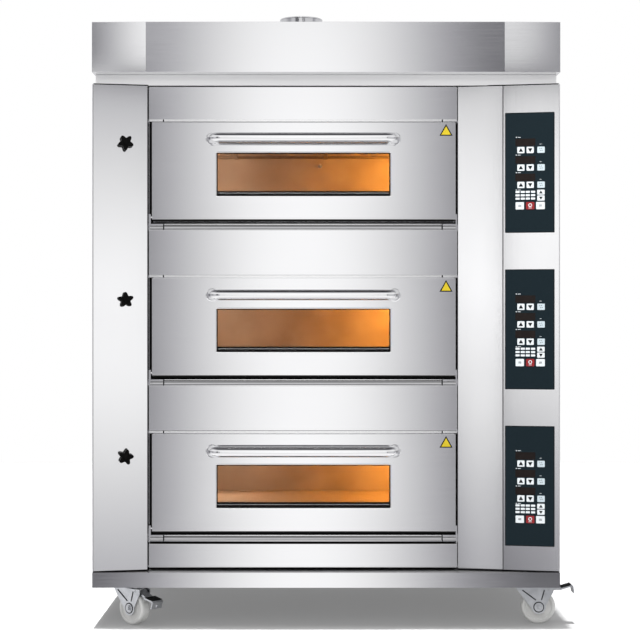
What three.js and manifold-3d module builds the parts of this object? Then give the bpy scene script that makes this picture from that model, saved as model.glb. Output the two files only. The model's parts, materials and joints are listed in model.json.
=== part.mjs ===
// A free-standing electric deck oven for a bakery: three baking chambers one above
// another, each with a drop-down door, a damper and its own control panel, under a
// sheet hood with a flue stub, on a plinth with four swivel castors.
// Millimetres, +Z up, the front faces -Y. The drawing frame has x = 0 on the body's
// middle plane, y = 0 on the plinth's front face and z = 0 on the floor; the last
// lines move the whole oven so that its origin is the bottom centre of its box.

import * as THREE from 'three';
import { mergeVertices } from 'three/addons/utils/BufferGeometryUtils.js';
import Module from 'manifold-3d';

const wasm = await Module();
wasm.setup();

// ---- driving dimensions ------------------------------------------------------

const GAP = 0.3; // between two pieces that touch
const SHEET = 2.5; // casing sheet

const HALF_WIDTH = 650;
const DEPTH = 850;
const PLINTH_BOTTOM = 114;
const PLINTH_TOP = 156;
const BODY_TOP = 1513.5;
const COVER_TOP = 1516; // the flat plate under the neck
const NECK_TOP = 1545;
const HOOD_TOP = 1685;
const STUB_TOP = 1803;

const DECK_PITCH = 437;
const TOP_DOOR_BOTTOM = 1140;
const DOOR_BOTTOMS = [0, 1, 2].map((deck) => TOP_DOOR_BOTTOM - deck * DECK_PITCH);

const RECESS_LEFT = -498; // the recessed door region between the two columns
const RECESS_RIGHT = 368;
const RECESS_FACE = 50; // how far its panels stand behind the plinth's front

const WING_INNER_Y = 30; // the outer columns turn in by this much
const LEFT_WING_INNER = -500;
const RIGHT_WING_INNER = 496;
const COLUMN_BOTTOM = PLINTH_TOP + 4;
const COLUMN_BACK = 86;

const FRAME_FRONT = 80; // the front frame behind the doors
const FRAME_BACK = 85;
const MOUTH = { left: -460, right: 337, low: 26, high: 246 }; // heights above a door's bottom

const DOOR = { left: -488, right: 363, height: 272, front: 38, shellBack: 70, back: 77.5 };
const WINDOW = { left: -307, right: 180, low: 65, high: 187 };
const HINGE_Y = 54;
const HINGE_LIFT = 7; // hinge axis above the door's bottom edge
const HINGE_PIN = 4; // radius
const LEFT_EAR = 6; // how thick each hinge ear is
const RIGHT_EAR = 4;
const SILL_DROP = 12; // sill rail's top below the door's bottom edge
const HEM_DROP = 5.5; // the door's lower hem, inside the reach of its front corner
const HEAD_GAP = 9; // fascia above a door's top edge
const HEAD_CLEARANCE = 2.4; // room for the door's top back corner as it opens
const HEAD_FACE = 44;
const RAIL = { left: -456, right: 326, joint: 2 }; // between the two end blocks

const HANDLE = { left: -319, right: 192, lift: 225, y: 3, radius: 15, bend: 24 };

const CHAMBER = { left: -490.5, right: 365.5, front: 85.3, back: 746, low: -6, high: 274, wall: 18 };
const HEARTH_LOW = 28;
const HEARTH_HIGH = 42;
const HEATER = { radius: 4.5, left: -430, right: 305, terminal: 378, front: 180, pitch: 150, passes: 4 };
const UPPER_HEATER_LIFT = 232;
const LOWER_HEATER_LIFT = 20;

const DAMPER = { x: -560, lift: 211, shaft: 4, knob: 22 };
const TRUNK = { left: -634, right: -600, front: 90, back: 190, bottom: 440, top: 1600 };
const BRANCH_HALF_HEIGHT = 34;
const DUCT_WALL = 2;

const PANEL = { x: 568, lift: 129, width: 137, height: 335, thick: 4 };
const HOUSING = { width: 86, height: 166, depth: 30 };

const HOOD_FRONT = -12; // the hood hangs over the body a little
const HOOD_END = -7; // its two outer facets turn back to here
const HOOD_FOLD_LEFT = -500;
const HOOD_FOLD_RIGHT = 495;
const NECK = { side: 645, front: 36, back: 848, wall: 3 }; // the band between the body and the hood
const STUB = { x: -76, y: 600, radius: 65, flange: 85 };

const CASTOR_X = 566;
const CASTOR_FRONT = 90;
const CASTOR_REAR = 760;
const WHEEL = { radius: 48, half: 15.5, hub: 17, bore: 6.5, trail: 34 };
const KINGPIN = 6;
const FORK_TOE = 20; // the rounding of a fork leg round its axle
const PEDAL_PIVOT = { trail: 60, z: 98, pin: 3 };
const PEDAL_PRESS = 28; // degrees from free to braked

const STEEL = { color: 0xc9cacc, roughness: 0.22, metalness: 1 };
const SATIN = { color: 0xd2d3d4, roughness: 0.38, metalness: 1 };
const ZINC = { color: 0xb4b8bb, roughness: 0.35, metalness: 1 };
const DARK_STEEL = { color: 0x6b6560, roughness: 0.55, metalness: 1 };
const HEATER_STEEL = { color: 0x4a4541, roughness: 0.6, metalness: 1 };
const STONE = { color: 0xa89a86, roughness: 0.9, metalness: 0 };
const GLASS = { color: 0xdfe6e4, roughness: 0.05, metalness: 0 };
const BLACK_PLASTIC = { color: 0x141516, roughness: 0.4, metalness: 0 };
const PANEL_PLASTIC = { color: 0x22323a, roughness: 0.35, metalness: 0 };
const WHEEL_NYLON = { color: 0xdcdcd8, roughness: 0.45, metalness: 0 };

// ---- joining, cutting and shaping --------------------------------------------

function toSolid(geometry) {
  const bare = geometry.clone();
  bare.deleteAttribute('normal');
  bare.deleteAttribute('uv');
  const merged = mergeVertices(bare, 1e-4);
  const vertProperties = new Float32Array(merged.attributes.position.array);
  const triVerts = new Uint32Array(merged.index.array);
  return new wasm.Manifold(new wasm.Mesh({ numProp: 3, vertProperties, triVerts }));
}

function toGeometry(solid) {
  const mesh = solid.getMesh();
  const geometry = new THREE.BufferGeometry();
  geometry.setAttribute('position', new THREE.BufferAttribute(mesh.vertProperties, 3));
  geometry.setIndex(new THREE.BufferAttribute(mesh.triVerts, 1));
  geometry.computeVertexNormals();
  return geometry;
}

function join(...pieces) {
  const solid = pieces.map(toSolid).reduce((sum, piece) => sum.add(piece));
  return toGeometry(solid);
}

function cut(body, ...tools) {
  const solid = tools.map(toSolid).reduce((rest, tool) => rest.subtract(tool), toSolid(body));
  return toGeometry(solid);
}

function box(x0, x1, y0, y1, z0, z1) {
  const geometry = new THREE.BoxGeometry(x1 - x0, y1 - y0, z1 - z0);
  return geometry.translate((x0 + x1) / 2, (y0 + y1) / 2, (z0 + z1) / 2);
}

function rod(radius, from, to, sides = 12) {
  const start = new THREE.Vector3(...from);
  const span = new THREE.Vector3(...to).sub(start);
  const geometry = new THREE.CylinderGeometry(radius, radius, span.length(), sides);
  const turn = new THREE.Quaternion().setFromUnitVectors(new THREE.Vector3(0, 1, 0), span.clone().normalize());
  geometry.applyQuaternion(turn);
  return geometry.translate(...start.addScaledVector(span, 0.5).toArray());
}

function outline(points) {
  return new THREE.Shape(points.map(([u, v]) => new THREE.Vector2(u, v)));
}

// an outline in plan (x, y), raised from z0 to z1
function raise(points, z0, z1) {
  const geometry = new THREE.ExtrudeGeometry(outline(points), { depth: z1 - z0, bevelEnabled: false });
  return geometry.translate(0, 0, z0);
}

// an outline seen from the side (x, z), run along y from y0 to y1
function runAlongY(points, y0, y1) {
  const geometry = new THREE.ExtrudeGeometry(outline(points), { depth: y1 - y0, bevelEnabled: false });
  geometry.rotateX(Math.PI / 2);
  return geometry.translate(0, y1, 0);
}

// a closed ring profile (radius, height) turned about z
function ring(profile, sides) {
  const points = [...profile, profile[0]].map(([r, h]) => new THREE.Vector2(r, h));
  return new THREE.LatheGeometry(points, sides).rotateX(Math.PI / 2);
}

// a path through corners, each rounded by a bend, given as stations with directions
class BentPath extends THREE.Curve {
  constructor(corners, bend, bendSteps) {
    super();
    this.points = [corners[0]];
    this.directions = [corners[1].clone().sub(corners[0]).normalize()];
    for (let i = 1; i < corners.length - 1; i += 1) {
      this.addBend(corners[i - 1], corners[i], corners[i + 1], bend, bendSteps);
    }
    this.points.push(corners[corners.length - 1]);
    this.directions.push(this.directions[this.directions.length - 1]);
  }

  addBend(before, corner, after, bend, bendSteps) {
    const inward = corner.clone().sub(before).normalize();
    const outward = after.clone().sub(corner).normalize();
    const centre = corner.clone().addScaledVector(inward, -bend).addScaledVector(outward, bend);
    for (let step = 0; step <= bendSteps; step += 1) {
      const angle = (step / bendSteps) * (Math.PI / 2);
      const along = inward.clone().multiplyScalar(Math.sin(angle));
      const aside = outward.clone().multiplyScalar(-Math.cos(angle));
      this.points.push(centre.clone().addScaledVector(along, bend).addScaledVector(aside, bend));
      this.directions.push(inward.clone().multiplyScalar(Math.cos(angle)).addScaledVector(outward, Math.sin(angle)));
    }
  }

  get steps() {
    return this.points.length - 1;
  }

  getPointAt(u) {
    return this.points[Math.round(u * this.steps)].clone();
  }

  getTangentAt(u) {
    return this.directions[Math.round(u * this.steps)].clone();
  }
}

function tube(path, radius, sides) {
  const section = [];
  for (let i = 0; i < sides; i += 1) {
    const angle = (i / sides) * 2 * Math.PI;
    section.push([radius * Math.cos(angle), radius * Math.sin(angle)]);
  }
  return new THREE.ExtrudeGeometry(outline(section), { steps: path.steps, extrudePath: path, bevelEnabled: false });
}

// ---- placing -----------------------------------------------------------------

const oven = new THREE.Group();

function add(name, geometry, finish, parent = oven) {
  const mesh = new THREE.Mesh(geometry, new THREE.MeshStandardMaterial(finish));
  mesh.name = name;
  parent.add(mesh);
}

// the face line of a turned-in column: from the casing's corner to its inner edge
function wingLine(innerX) {
  const side = Math.sign(innerX);
  const outer = new THREE.Vector2(side * (HALF_WIDTH - SHEET - GAP), GAP);
  const inner = new THREE.Vector2(innerX, WING_INNER_Y);
  return { side, outer, inner, slope: (inner.y - outer.y) / (inner.x - outer.x) };
}

function wingFaceY(line, x) {
  return line.outer.y + (x - line.outer.x) * line.slope;
}

// a group on a wing's face at (x, z): local x along the face, local y straight in
function wingGroup(line, x, z) {
  const group = new THREE.Group();
  group.position.set(x, wingFaceY(line, x), z);
  group.rotation.z = Math.atan(line.slope);
  group.updateMatrix();
  oven.add(group);
  return group;
}

// ---- casing ------------------------------------------------------------------

function baseFrame() {
  const wall = 3;
  const inside = HALF_WIDTH - wall;
  const shell = cut(
    box(-HALF_WIDTH, HALF_WIDTH, 0, DEPTH, PLINTH_BOTTOM, PLINTH_TOP),
    box(-inside, inside, wall, DEPTH - wall, PLINTH_BOTTOM - 1, PLINTH_TOP - SHEET),
  );
  const plates = [];
  const kingpinHoles = [];
  for (const x of [-CASTOR_X, CASTOR_X]) {
    for (const y of [CASTOR_FRONT, CASTOR_REAR]) {
      const outerX = Math.sign(x) * (inside + 1);
      const innerX = Math.sign(x) * 497;
      const edgeY = y === CASTOR_FRONT ? wall - 1 : DEPTH - wall + 1;
      const farY = y === CASTOR_FRONT ? y + 83 : y - 83;
      plates.push(box(
        Math.min(outerX, innerX), Math.max(outerX, innerX),
        Math.min(edgeY, farY), Math.max(edgeY, farY), PLINTH_BOTTOM, PLINTH_BOTTOM + 6,
      ));
      kingpinHoles.push(rod(KINGPIN + 0.6, [x, y, PLINTH_BOTTOM - 5], [x, y, PLINTH_BOTTOM + 10]));
    }
  }
  add('base_frame', cut(join(shell, ...plates), ...kingpinHoles), STEEL);
}

// a turned-in column: the face, and a return beside the door recess
function wingColumn(line) {
  const { side, outer, inner } = line;
  const back = SHEET / Math.cos(Math.atan(line.slope));
  const foldX = inner.x + side * SHEET;
  return raise([
    [outer.x, outer.y],
    [inner.x, inner.y],
    [inner.x, COLUMN_BACK],
    [foldX, COLUMN_BACK],
    [foldX, wingFaceY(line, foldX) + back],
    [outer.x, outer.y + back],
  ], COLUMN_BOTTOM, BODY_TOP - GAP);
}

// a tool that is straight through the wing's sheet at (x, z)
function throughWing(line, x, z, tool) {
  const angle = Math.atan(line.slope);
  return tool.rotateZ(angle).translate(x, wingFaceY(line, x), z);
}

function leftColumn(line) {
  const holes = DOOR_BOTTOMS.map((bottom) => {
    const shaftHole = rod(DAMPER.shaft + 1, [0, -10, 0], [0, 10, 0]);
    return throughWing(line, DAMPER.x, bottom + DAMPER.lift, shaftHole);
  });
  add('left_column', cut(wingColumn(line), ...holes), STEEL);
}

function rightColumn(line) {
  const openings = DOOR_BOTTOMS.map((bottom) => {
    const halfX = HOUSING.width / 2 + 2;
    const halfZ = HOUSING.height / 2 + 2;
    return throughWing(line, PANEL.x, bottom + PANEL.lift, box(-halfX, halfX, -10, 10, -halfZ, halfZ));
  });
  add('right_column', cut(wingColumn(line), ...openings), STEEL);
}

// it slants out from the recess to the right column's inner edge
function innerColumn() {
  const left = RECESS_RIGHT + 2;
  const right = RIGHT_WING_INNER - 2;
  add('inner_column', raise([
    [left, RECESS_FACE],
    [right, WING_INNER_Y],
    [right, COLUMN_BACK],
    [right - SHEET, COLUMN_BACK],
    [right - SHEET, WING_INNER_Y + SHEET],
    [left + SHEET, RECESS_FACE + SHEET],
    [left + SHEET, COLUMN_BACK],
    [left, COLUMN_BACK],
  ], COLUMN_BOTTOM, BODY_TOP - GAP), STEEL);
}

// rows of ventilation slots through a panel, as boxes along x or y
function ventSlots(first, pitchAcross, columns, low, rows, slot) {
  const slots = [];
  for (let column = 0; column < columns; column += 1) {
    for (let row = 0; row < rows; row += 1) {
      slots.push(slot(first + column * pitchAcross, low + row * 16));
    }
  }
  return slots;
}

function sidePanelSheet(x0, x1) {
  return box(x0, x1, GAP, DEPTH - SHEET - GAP, PLINTH_TOP + GAP, BODY_TOP - GAP);
}

function sidePanels() {
  const left = sidePanelSheet(-HALF_WIDTH, -HALF_WIDTH + SHEET);
  add('left_side_panel', left, STEEL);
  const right = sidePanelSheet(HALF_WIDTH - SHEET, HALF_WIDTH);
  const slot = (y, z) => box(HALF_WIDTH - 5, HALF_WIDTH + 5, y, y + 120, z, z + 5);
  const low = ventSlots(60, 160, 2, 250, 6, slot);
  const high = ventSlots(60, 160, 2, 1360, 6, slot);
  add('right_side_panel', cut(right, ...low, ...high), STEEL);
}

function backPanel() {
  const front = DEPTH - SHEET;
  const slot = (x, z) => box(x, x + 100, front - 1, DEPTH + 1, z, z + 5);
  const sheet = box(-HALF_WIDTH, HALF_WIDTH, front, DEPTH, PLINTH_TOP + GAP, BODY_TOP - GAP);
  const slots = ventSlots(370, 130, 2, 1320, 7, slot);
  const glandHole = rod(13, [560, front - 5, 260], [560, DEPTH + 5, 260], 16);
  add('back_panel', cut(sheet, ...slots, glandHole), STEEL);
}

function cableGland() {
  const body = rod(12, [560, DEPTH - 15, 260], [560, DEPTH + 4, 260], 16);
  const nut = rod(18, [560, DEPTH + GAP, 260], [560, DEPTH + 9, 260], 6);
  const dome = rod(14, [560, DEPTH + 8, 260], [560, DEPTH + 22, 260], 16);
  const lead = rod(6, [560, DEPTH - 30, 260], [560, DEPTH + 30, 260], 12);
  add('cable_gland', cut(join(body, nut, dome), lead), BLACK_PLASTIC);
}

// a plate over the body that follows the columns' faces, with the neck's walls on it
function topCover(leftLine, rightLine) {
  const { side, front, back, wall } = NECK;
  const edge = HALF_WIDTH - 2;
  const columnLeft = RECESS_RIGHT + 2;
  const plate = raise([
    [-edge, wingFaceY(leftLine, -edge) + GAP],
    [LEFT_WING_INNER, WING_INNER_Y + GAP],
    [LEFT_WING_INNER, RECESS_FACE + GAP],
    [columnLeft, RECESS_FACE + GAP],
    [RIGHT_WING_INNER - 2, WING_INNER_Y + GAP],
    [edge, wingFaceY(rightLine, edge) + GAP],
    [edge, back],
    [-edge, back],
  ], BODY_TOP, COVER_TOP);
  const walls = cut(
    box(-side, side, front, back - 2, COVER_TOP - 1, NECK_TOP - GAP),
    box(-side + wall, side - wall, front + wall, back - 2 - wall, COVER_TOP, NECK_TOP + 1),
  );
  const trunkHole = box(
    TRUNK.left - 1, TRUNK.right + 1, TRUNK.front - 1, TRUNK.back + 1, BODY_TOP - 1, COVER_TOP + 1,
  );
  add('top_cover', cut(join(plate, walls), trunkHole), SATIN);
}

function hoodOutline(inset) {
  const side = HALF_WIDTH - inset;
  const front = HOOD_FRONT + inset;
  return [
    [-side, HOOD_END + inset],
    [HOOD_FOLD_LEFT, front],
    [HOOD_FOLD_RIGHT, front],
    [side, HOOD_END + inset],
    [side, DEPTH - inset],
    [-side, DEPTH - inset],
  ];
}

// its lower edge turns in all round and rests on the neck's walls
function hood() {
  const { side, front, back, wall } = NECK;
  const shell = cut(
    raise(hoodOutline(0), NECK_TOP, HOOD_TOP),
    raise(hoodOutline(SHEET), NECK_TOP + SHEET, HOOD_TOP - SHEET),
    box(-side + wall, side - wall, front + wall, back - 2 - wall, NECK_TOP - 1, NECK_TOP + SHEET + 1),
    rod(STUB.radius - 2, [STUB.x, STUB.y, HOOD_TOP - 10], [STUB.x, STUB.y, HOOD_TOP + 10], 24),
  );
  add('hood', shell, STEEL);
}

function flueStub() {
  const height = STUB_TOP - HOOD_TOP - GAP;
  const bore = STUB.radius - 2;
  const geometry = ring([
    [bore, 0],
    [STUB.flange, 0],
    [STUB.flange, 3],
    [STUB.radius, 3],
    [STUB.radius, height],
    [bore, height],
  ], 32);
  add('flue_stub', geometry.translate(STUB.x, STUB.y, HOOD_TOP + GAP), STEEL);
}

// ---- door recess -------------------------------------------------------------

// a fascia is a shallow tray with its top and bottom edges folded back
function fascia(name, low, high) {
  const front = RECESS_FACE;
  const geometry = cut(
    box(RECESS_LEFT, RECESS_RIGHT, front, front + 20, low, high),
    box(RECESS_LEFT - 1, RECESS_RIGHT + 1, front + SHEET, front + 21, low + SHEET, high - SHEET),
  );
  add(name, geometry, STEEL);
}

function fascias() {
  const [top, middle, bottom] = DOOR_BOTTOMS;
  const aboveDoor = DOOR.height + HEAD_GAP;
  fascia('fascia_top', top + aboveDoor, BODY_TOP - GAP);
  fascia('fascia_upper', middle + aboveDoor, top - 29);
  fascia('fascia_lower', bottom + aboveDoor, middle - 30);
  fascia('fascia_bottom', COLUMN_BOTTOM + 2, bottom - 37);
}

// a rail on the front frame, with a block at each end
function rail(face, low, high) {
  const back = FRAME_FRONT + 1;
  return [
    box(RECESS_LEFT, RAIL.left - RAIL.joint, face, back, low, high),
    box(RAIL.left, RAIL.right, face, back, low, high),
    box(RAIL.right + RAIL.joint, RECESS_RIGHT, face, back, low, high),
  ];
}

// the frame round the three mouths, with a head rail, a sill rail and two hinge ears each
function frontFrame() {
  const left = RECESS_LEFT - 1.7;
  const right = RECESS_RIGHT + 1.7;
  const pieces = [];
  const holes = [];
  const sillLows = [29, 30, 30];
  const ears = [
    { earX: RECESS_LEFT, thick: LEFT_EAR },
    { earX: RECESS_RIGHT - RIGHT_EAR, thick: RIGHT_EAR },
  ];
  DOOR_BOTTOMS.forEach((bottom, deck) => {
    const low = bottom - sillLows[deck] + GAP;
    const high = bottom - SILL_DROP;
    pieces.push(...rail(RECESS_FACE, low, high));
    for (const { earX, thick } of ears) {
      pieces.push(box(earX, earX + thick, HINGE_Y - 8, HINGE_Y + 8, high - 1, bottom + HINGE_LIFT + 8));
      holes.push(rod(
        HINGE_PIN + 0.6,
        [earX - 2, HINGE_Y, bottom + HINGE_LIFT],
        [earX + thick + 2, HINGE_Y, bottom + HINGE_LIFT],
      ));
    }
    const headLow = bottom + DOOR.height + HEAD_CLEARANCE;
    pieces.push(...rail(HEAD_FACE, headLow, bottom + DOOR.height + HEAD_GAP - GAP));
    holes.push(box(
      MOUTH.left, MOUTH.right, FRAME_FRONT - 5, FRAME_BACK + 5, bottom + MOUTH.low, bottom + MOUTH.high,
    ));
  });
  const plate = box(left, right, FRAME_FRONT, FRAME_BACK, COLUMN_BOTTOM, BODY_TOP - GAP);
  add('front_frame', cut(join(plate, ...pieces), ...holes), STEEL);
}

// ---- a deck ------------------------------------------------------------------

function heaterPath(z) {
  const corners = [];
  for (let pass = 0; pass < HEATER.passes; pass += 1) {
    const y = HEATER.front + pass * HEATER.pitch;
    const ends = [HEATER.right, HEATER.left];
    if (pass % 2 === 1) {
      ends.reverse();
    }
    ends.forEach((x) => corners.push(new THREE.Vector3(x, y, z)));
  }
  corners[0].x = HEATER.terminal;
  corners[corners.length - 1].x = HEATER.terminal;
  return new BentPath(corners, HEATER.pitch / 2 - 0.5, 4);
}

// the clear way between the trunk and a chamber, round height z
function branchHole(x0, x1, z) {
  const half = BRANCH_HALF_HEIGHT - DUCT_WALL;
  return box(x0, x1, TRUNK.front + DUCT_WALL, TRUNK.back - DUCT_WALL, z - half, z + half);
}

// the two ends of a heater leave through the right wall
function terminalHoles(z) {
  const lastPass = HEATER.front + (HEATER.passes - 1) * HEATER.pitch;
  return [HEATER.front, lastPass].map((y) => rod(HEATER.radius + 1.2, [330, y, z], [CHAMBER.right + 5, y, z], 8));
}

// a collar on the chamber's left side leads its vent to the trunk
function chamber(deck, bottom, line) {
  const { left, right, front, back, wall } = CHAMBER;
  const low = bottom + CHAMBER.low;
  const high = bottom + CHAMBER.high;
  const shell = cut(
    box(left, right, front, back, low, high),
    box(left + wall, right - wall, front - 1, back - wall, low + wall, high - wall),
  );
  const ledgeTop = bottom + HEARTH_LOW - GAP;
  const leftLedge = box(left + wall - 1, left + wall + 10, front, back - wall + 1, low + wall - 1, ledgeTop);
  const rightLedge = box(right - wall - 10, right - wall + 1, front, back - wall + 1, low + wall - 1, ledgeTop);
  const ventZ = bottom + DAMPER.lift;
  const half = BRANCH_HALF_HEIGHT;
  const collarStart = TRUNK.right + GAP;
  const collar = box(collarStart, left + 1, TRUNK.front, TRUNK.back, ventZ - half, ventZ + half);
  const vent = branchHole(collarStart - 1, left + wall + 5, ventZ);
  const shaftHole = throughWing(line, DAMPER.x, ventZ, rod(DAMPER.shaft + 1, [0, 60, 0], [0, 86, 0]));
  const holes = [...terminalHoles(bottom + UPPER_HEATER_LIFT), ...terminalHoles(bottom + LOWER_HEATER_LIFT)];
  const body = join(shell, leftLedge, rightLedge, collar);
  add(`chamber_${deck}`, cut(body, vent, shaftHole, ...holes), DARK_STEEL);
}

function hearth(deck, bottom) {
  const inset = CHAMBER.wall + 2;
  add(`hearth_${deck}`, box(
    CHAMBER.left + inset, CHAMBER.right - inset, CHAMBER.front + 4, CHAMBER.back - inset,
    bottom + HEARTH_LOW, bottom + HEARTH_HIGH,
  ), STONE);
}

function heaters(deck, bottom) {
  add(`upper_heater_${deck}`, tube(heaterPath(bottom + UPPER_HEATER_LIFT), HEATER.radius, 6), HEATER_STEEL);
  add(`lower_heater_${deck}`, tube(heaterPath(bottom + LOWER_HEATER_LIFT), HEATER.radius, 6), HEATER_STEEL);
}

function doorShell(deck, bottom) {
  const { left, right, front, shellBack, height } = DOOR;
  const top = bottom + height;
  const shell = cut(
    box(left, right, front, shellBack, bottom, top),
    box(left + SHEET, right - SHEET, front + SHEET, shellBack + 1, bottom + SHEET, top - SHEET),
    box(WINDOW.left, WINDOW.right, front - 1, front + 5, bottom + WINDOW.low, bottom + WINDOW.high),
  );
  const z = bottom + HINGE_LIFT;
  const leftPin = rod(HINGE_PIN, [left - 7, HINGE_Y, z], [left + 1, HINGE_Y, z]);
  const rightPin = rod(HINGE_PIN, [right - 1, HINGE_Y, z], [right + 4.8, HINGE_Y, z]);
  const hem = box(left + 2, right - 2, front + 6, front + 22, bottom - HEM_DROP, bottom + 1);
  add(`door_shell_${deck}`, join(shell, leftPin, rightPin, hem), STEEL);
}

function doorGlass(deck, bottom) {
  add(`door_glass_${deck}`, box(
    WINDOW.left - 8, WINDOW.right + 8, DOOR.front + SHEET + GAP, DOOR.front + 7,
    bottom + WINDOW.low - 8, bottom + WINDOW.high + 8,
  ), GLASS);
}

// a rectangular ring that runs along y, its hole the given outline
function rectangleRing(hole, wall, y0, y1, base) {
  const outer = box(hole.left - wall, hole.right + wall, y0, y1, base + hole.low - wall, base + hole.high + wall);
  const inner = box(hole.left, hole.right, y0 - 1, y1 + 1, base + hole.low, base + hole.high);
  return cut(outer, inner);
}

function doorLiner(deck, bottom) {
  const plateFront = DOOR.shellBack + GAP;
  const plate = box(DOOR.left + 3, DOOR.right - 3, plateFront, plateFront + 3, bottom + 3, bottom + DOOR.height - 3);
  const windowHole = box(WINDOW.left, WINDOW.right, 40, 90, bottom + WINDOW.low, bottom + WINDOW.high);
  const tunnel = rectangleRing(WINDOW, 12, DOOR.front + 7 + GAP, plateFront + 1, bottom);
  const seal = rectangleRing({ left: -448, right: 325, low: 38, high: 234 }, 18, plateFront + 2, DOOR.back, bottom);
  add(`door_liner_${deck}`, cut(join(plate, tunnel, seal), windowHole), STEEL);
}

function doorHandle(deck, bottom) {
  const z = bottom + HANDLE.lift;
  const faceY = DOOR.front - GAP;
  const corners = [
    new THREE.Vector3(HANDLE.left, faceY, z),
    new THREE.Vector3(HANDLE.left, HANDLE.y, z),
    new THREE.Vector3(HANDLE.right, HANDLE.y, z),
    new THREE.Vector3(HANDLE.right, faceY, z),
  ];
  add(`door_handle_${deck}`, tube(new BentPath(corners, HANDLE.bend, 5), HANDLE.radius, 12), STEEL);
}

// one lobe points down
function starOutline(radius, lobes) {
  const points = [];
  const steps = lobes * 8;
  for (let i = 0; i < steps; i += 1) {
    const angle = (i / steps) * 2 * Math.PI;
    const reach = radius * (0.82 + 0.18 * Math.cos(lobes * angle));
    points.push([reach * Math.sin(angle), -reach * Math.cos(angle)]);
  }
  return points;
}

function damper(deck, bottom, line) {
  const group = wingGroup(line, DAMPER.x, bottom + DAMPER.lift);
  const star = runAlongY(starOutline(DAMPER.knob, 5), -26, -8);
  const collar = rod(10, [0, -9, 0], [0, -0.5, 0], 20);
  const socket = rod(DAMPER.shaft + GAP, [0, -17, 0], [0, 5, 0]);
  add(`damper_knob_${deck}`, cut(join(star, collar), socket), BLACK_PLASTIC, group);
  const shaft = rod(DAMPER.shaft, [0, -16, 0], [0, 150, 0]);
  const blade = box(-1, 1, 88, 152, -26, 26);
  add(`damper_valve_${deck}`, join(shaft, blade), ZINC, group);
}

function controlPanel(deck, bottom, line) {
  const group = wingGroup(line, PANEL.x, bottom + PANEL.lift);
  const halfX = PANEL.width / 2;
  const halfZ = PANEL.height / 2;
  const bezel = box(-halfX, halfX, -PANEL.thick - GAP, -GAP, -halfZ, halfZ);
  const housing = box(
    -HOUSING.width / 2, HOUSING.width / 2, -1, HOUSING.depth, -HOUSING.height / 2, HOUSING.height / 2,
  );
  add(`control_panel_${deck}`, join(bezel, housing), PANEL_PLASTIC, group);
}

// the trunk behind the left column, open to each chamber's collar
function flueDuct() {
  const { left, right, front, back, bottom, top } = TRUNK;
  const wall = DUCT_WALL;
  const outer = box(left, right, front, back, bottom, top);
  const inner = box(left + wall, right - wall, front + wall, back - wall, bottom + wall, top + 1);
  const branches = DOOR_BOTTOMS.map((doorBottom) => branchHole(right - 5, right + 1, doorBottom + DAMPER.lift));
  add('flue_duct', cut(outer, inner, ...branches), ZINC);
}

// ---- castors -----------------------------------------------------------------

// local frame: the swivel axis is z, the wheel trails towards +x, its axle is along y
function castorGroup(x, y, trailAngle) {
  const group = new THREE.Group();
  group.position.set(x, y, 0);
  group.rotation.z = THREE.MathUtils.degToRad(trailAngle);
  oven.add(group);
  return group;
}

function castorFork(name, group, braked) {
  const trail = WHEEL.trail;
  const crownLow = 99.5;
  const crownHigh = 103.5;
  const legEnd = braked ? 76 : 56;
  const legProfile = [[-27, crownHigh], [-27, 97]];
  for (let degrees = 190; degrees <= 370; degrees += 20) {
    const angle = THREE.MathUtils.degToRad(degrees);
    legProfile.push([trail + FORK_TOE * Math.cos(angle), WHEEL.radius + FORK_TOE * Math.sin(angle)]);
  }
  legProfile.push([legEnd, 92], [legEnd, crownHigh]);
  const nearLeg = runAlongY(legProfile, -21, -18);
  const farLeg = runAlongY(legProfile, 18, 21);
  const crown = box(-27, 46, -19, 19, crownLow, crownHigh);
  const race = rod(24, [0, 0, crownHigh - 1], [0, 0, PLINTH_BOTTOM - 0.5], 24);
  const kingpin = rod(KINGPIN, [0, 0, crownHigh], [0, 0, PLINTH_BOTTOM + 9]);
  const axle = rod(6, [trail, -20, WHEEL.radius], [trail, 20, WHEEL.radius]);
  const nearHead = rod(9, [trail, -25, WHEEL.radius], [trail, -20, WHEEL.radius], 6);
  const farHead = rod(9, [trail, 20, WHEEL.radius], [trail, 25, WHEEL.radius], 6);
  const fork = join(nearLeg, farLeg, crown, race, kingpin, axle, nearHead, farHead);
  if (!braked) {
    add(name, fork, ZINC, group);
    return;
  }
  const { trail: pivotX, z: pivotZ, pin } = PEDAL_PIVOT;
  const pedalBore = rod(pin + 0.6, [pivotX, -30, pivotZ], [pivotX, 30, pivotZ]);
  add(name, cut(fork, pedalBore), ZINC, group);
}

function castorWheel(name, group) {
  const { radius, half, hub, bore } = WHEEL;
  const geometry = ring([
    [bore, -hub],
    [14, -hub],
    [19, -half + 2],
    [44, -half],
    [radius, -half + 4],
    [radius, half - 4],
    [44, half],
    [19, half - 2],
    [14, hub],
    [bore, hub],
  ], 24);
  geometry.rotateX(Math.PI / 2).translate(WHEEL.trail, 0, radius);
  add(name, geometry, WHEEL_NYLON, group);
}

// the pedal turns on a pin between the fork's legs; its cam presses the tread
function castorPedal(name, group, pressed) {
  const { trail, z, pin } = PEDAL_PIVOT;
  const lever = runAlongY([
    [-4, -2],
    [1, -8],
    [4.2, -7.8],
    [8, -4],
    [14, -3],
    [40, -3],
    [40, 3],
    [14, 3],
    [4, 5.5],
    [-4, 4],
  ], -14, 14);
  const pad = runAlongY([
    [36, -2],
    [66, 7],
    [68.5, 5],
    [71.5, -11],
    [75, -10.3],
    [72, 9],
    [68, 12],
    [36, 3],
  ], -20, 20);
  const pivot = rod(pin, [0, -20.5, 0], [0, 20.5, 0]);
  const pedal = join(lever, pad, pivot);
  pedal.rotateY(THREE.MathUtils.degToRad(pressed)).translate(trail, 0, z);
  add(name, pedal, ZINC, group);
}

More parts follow.
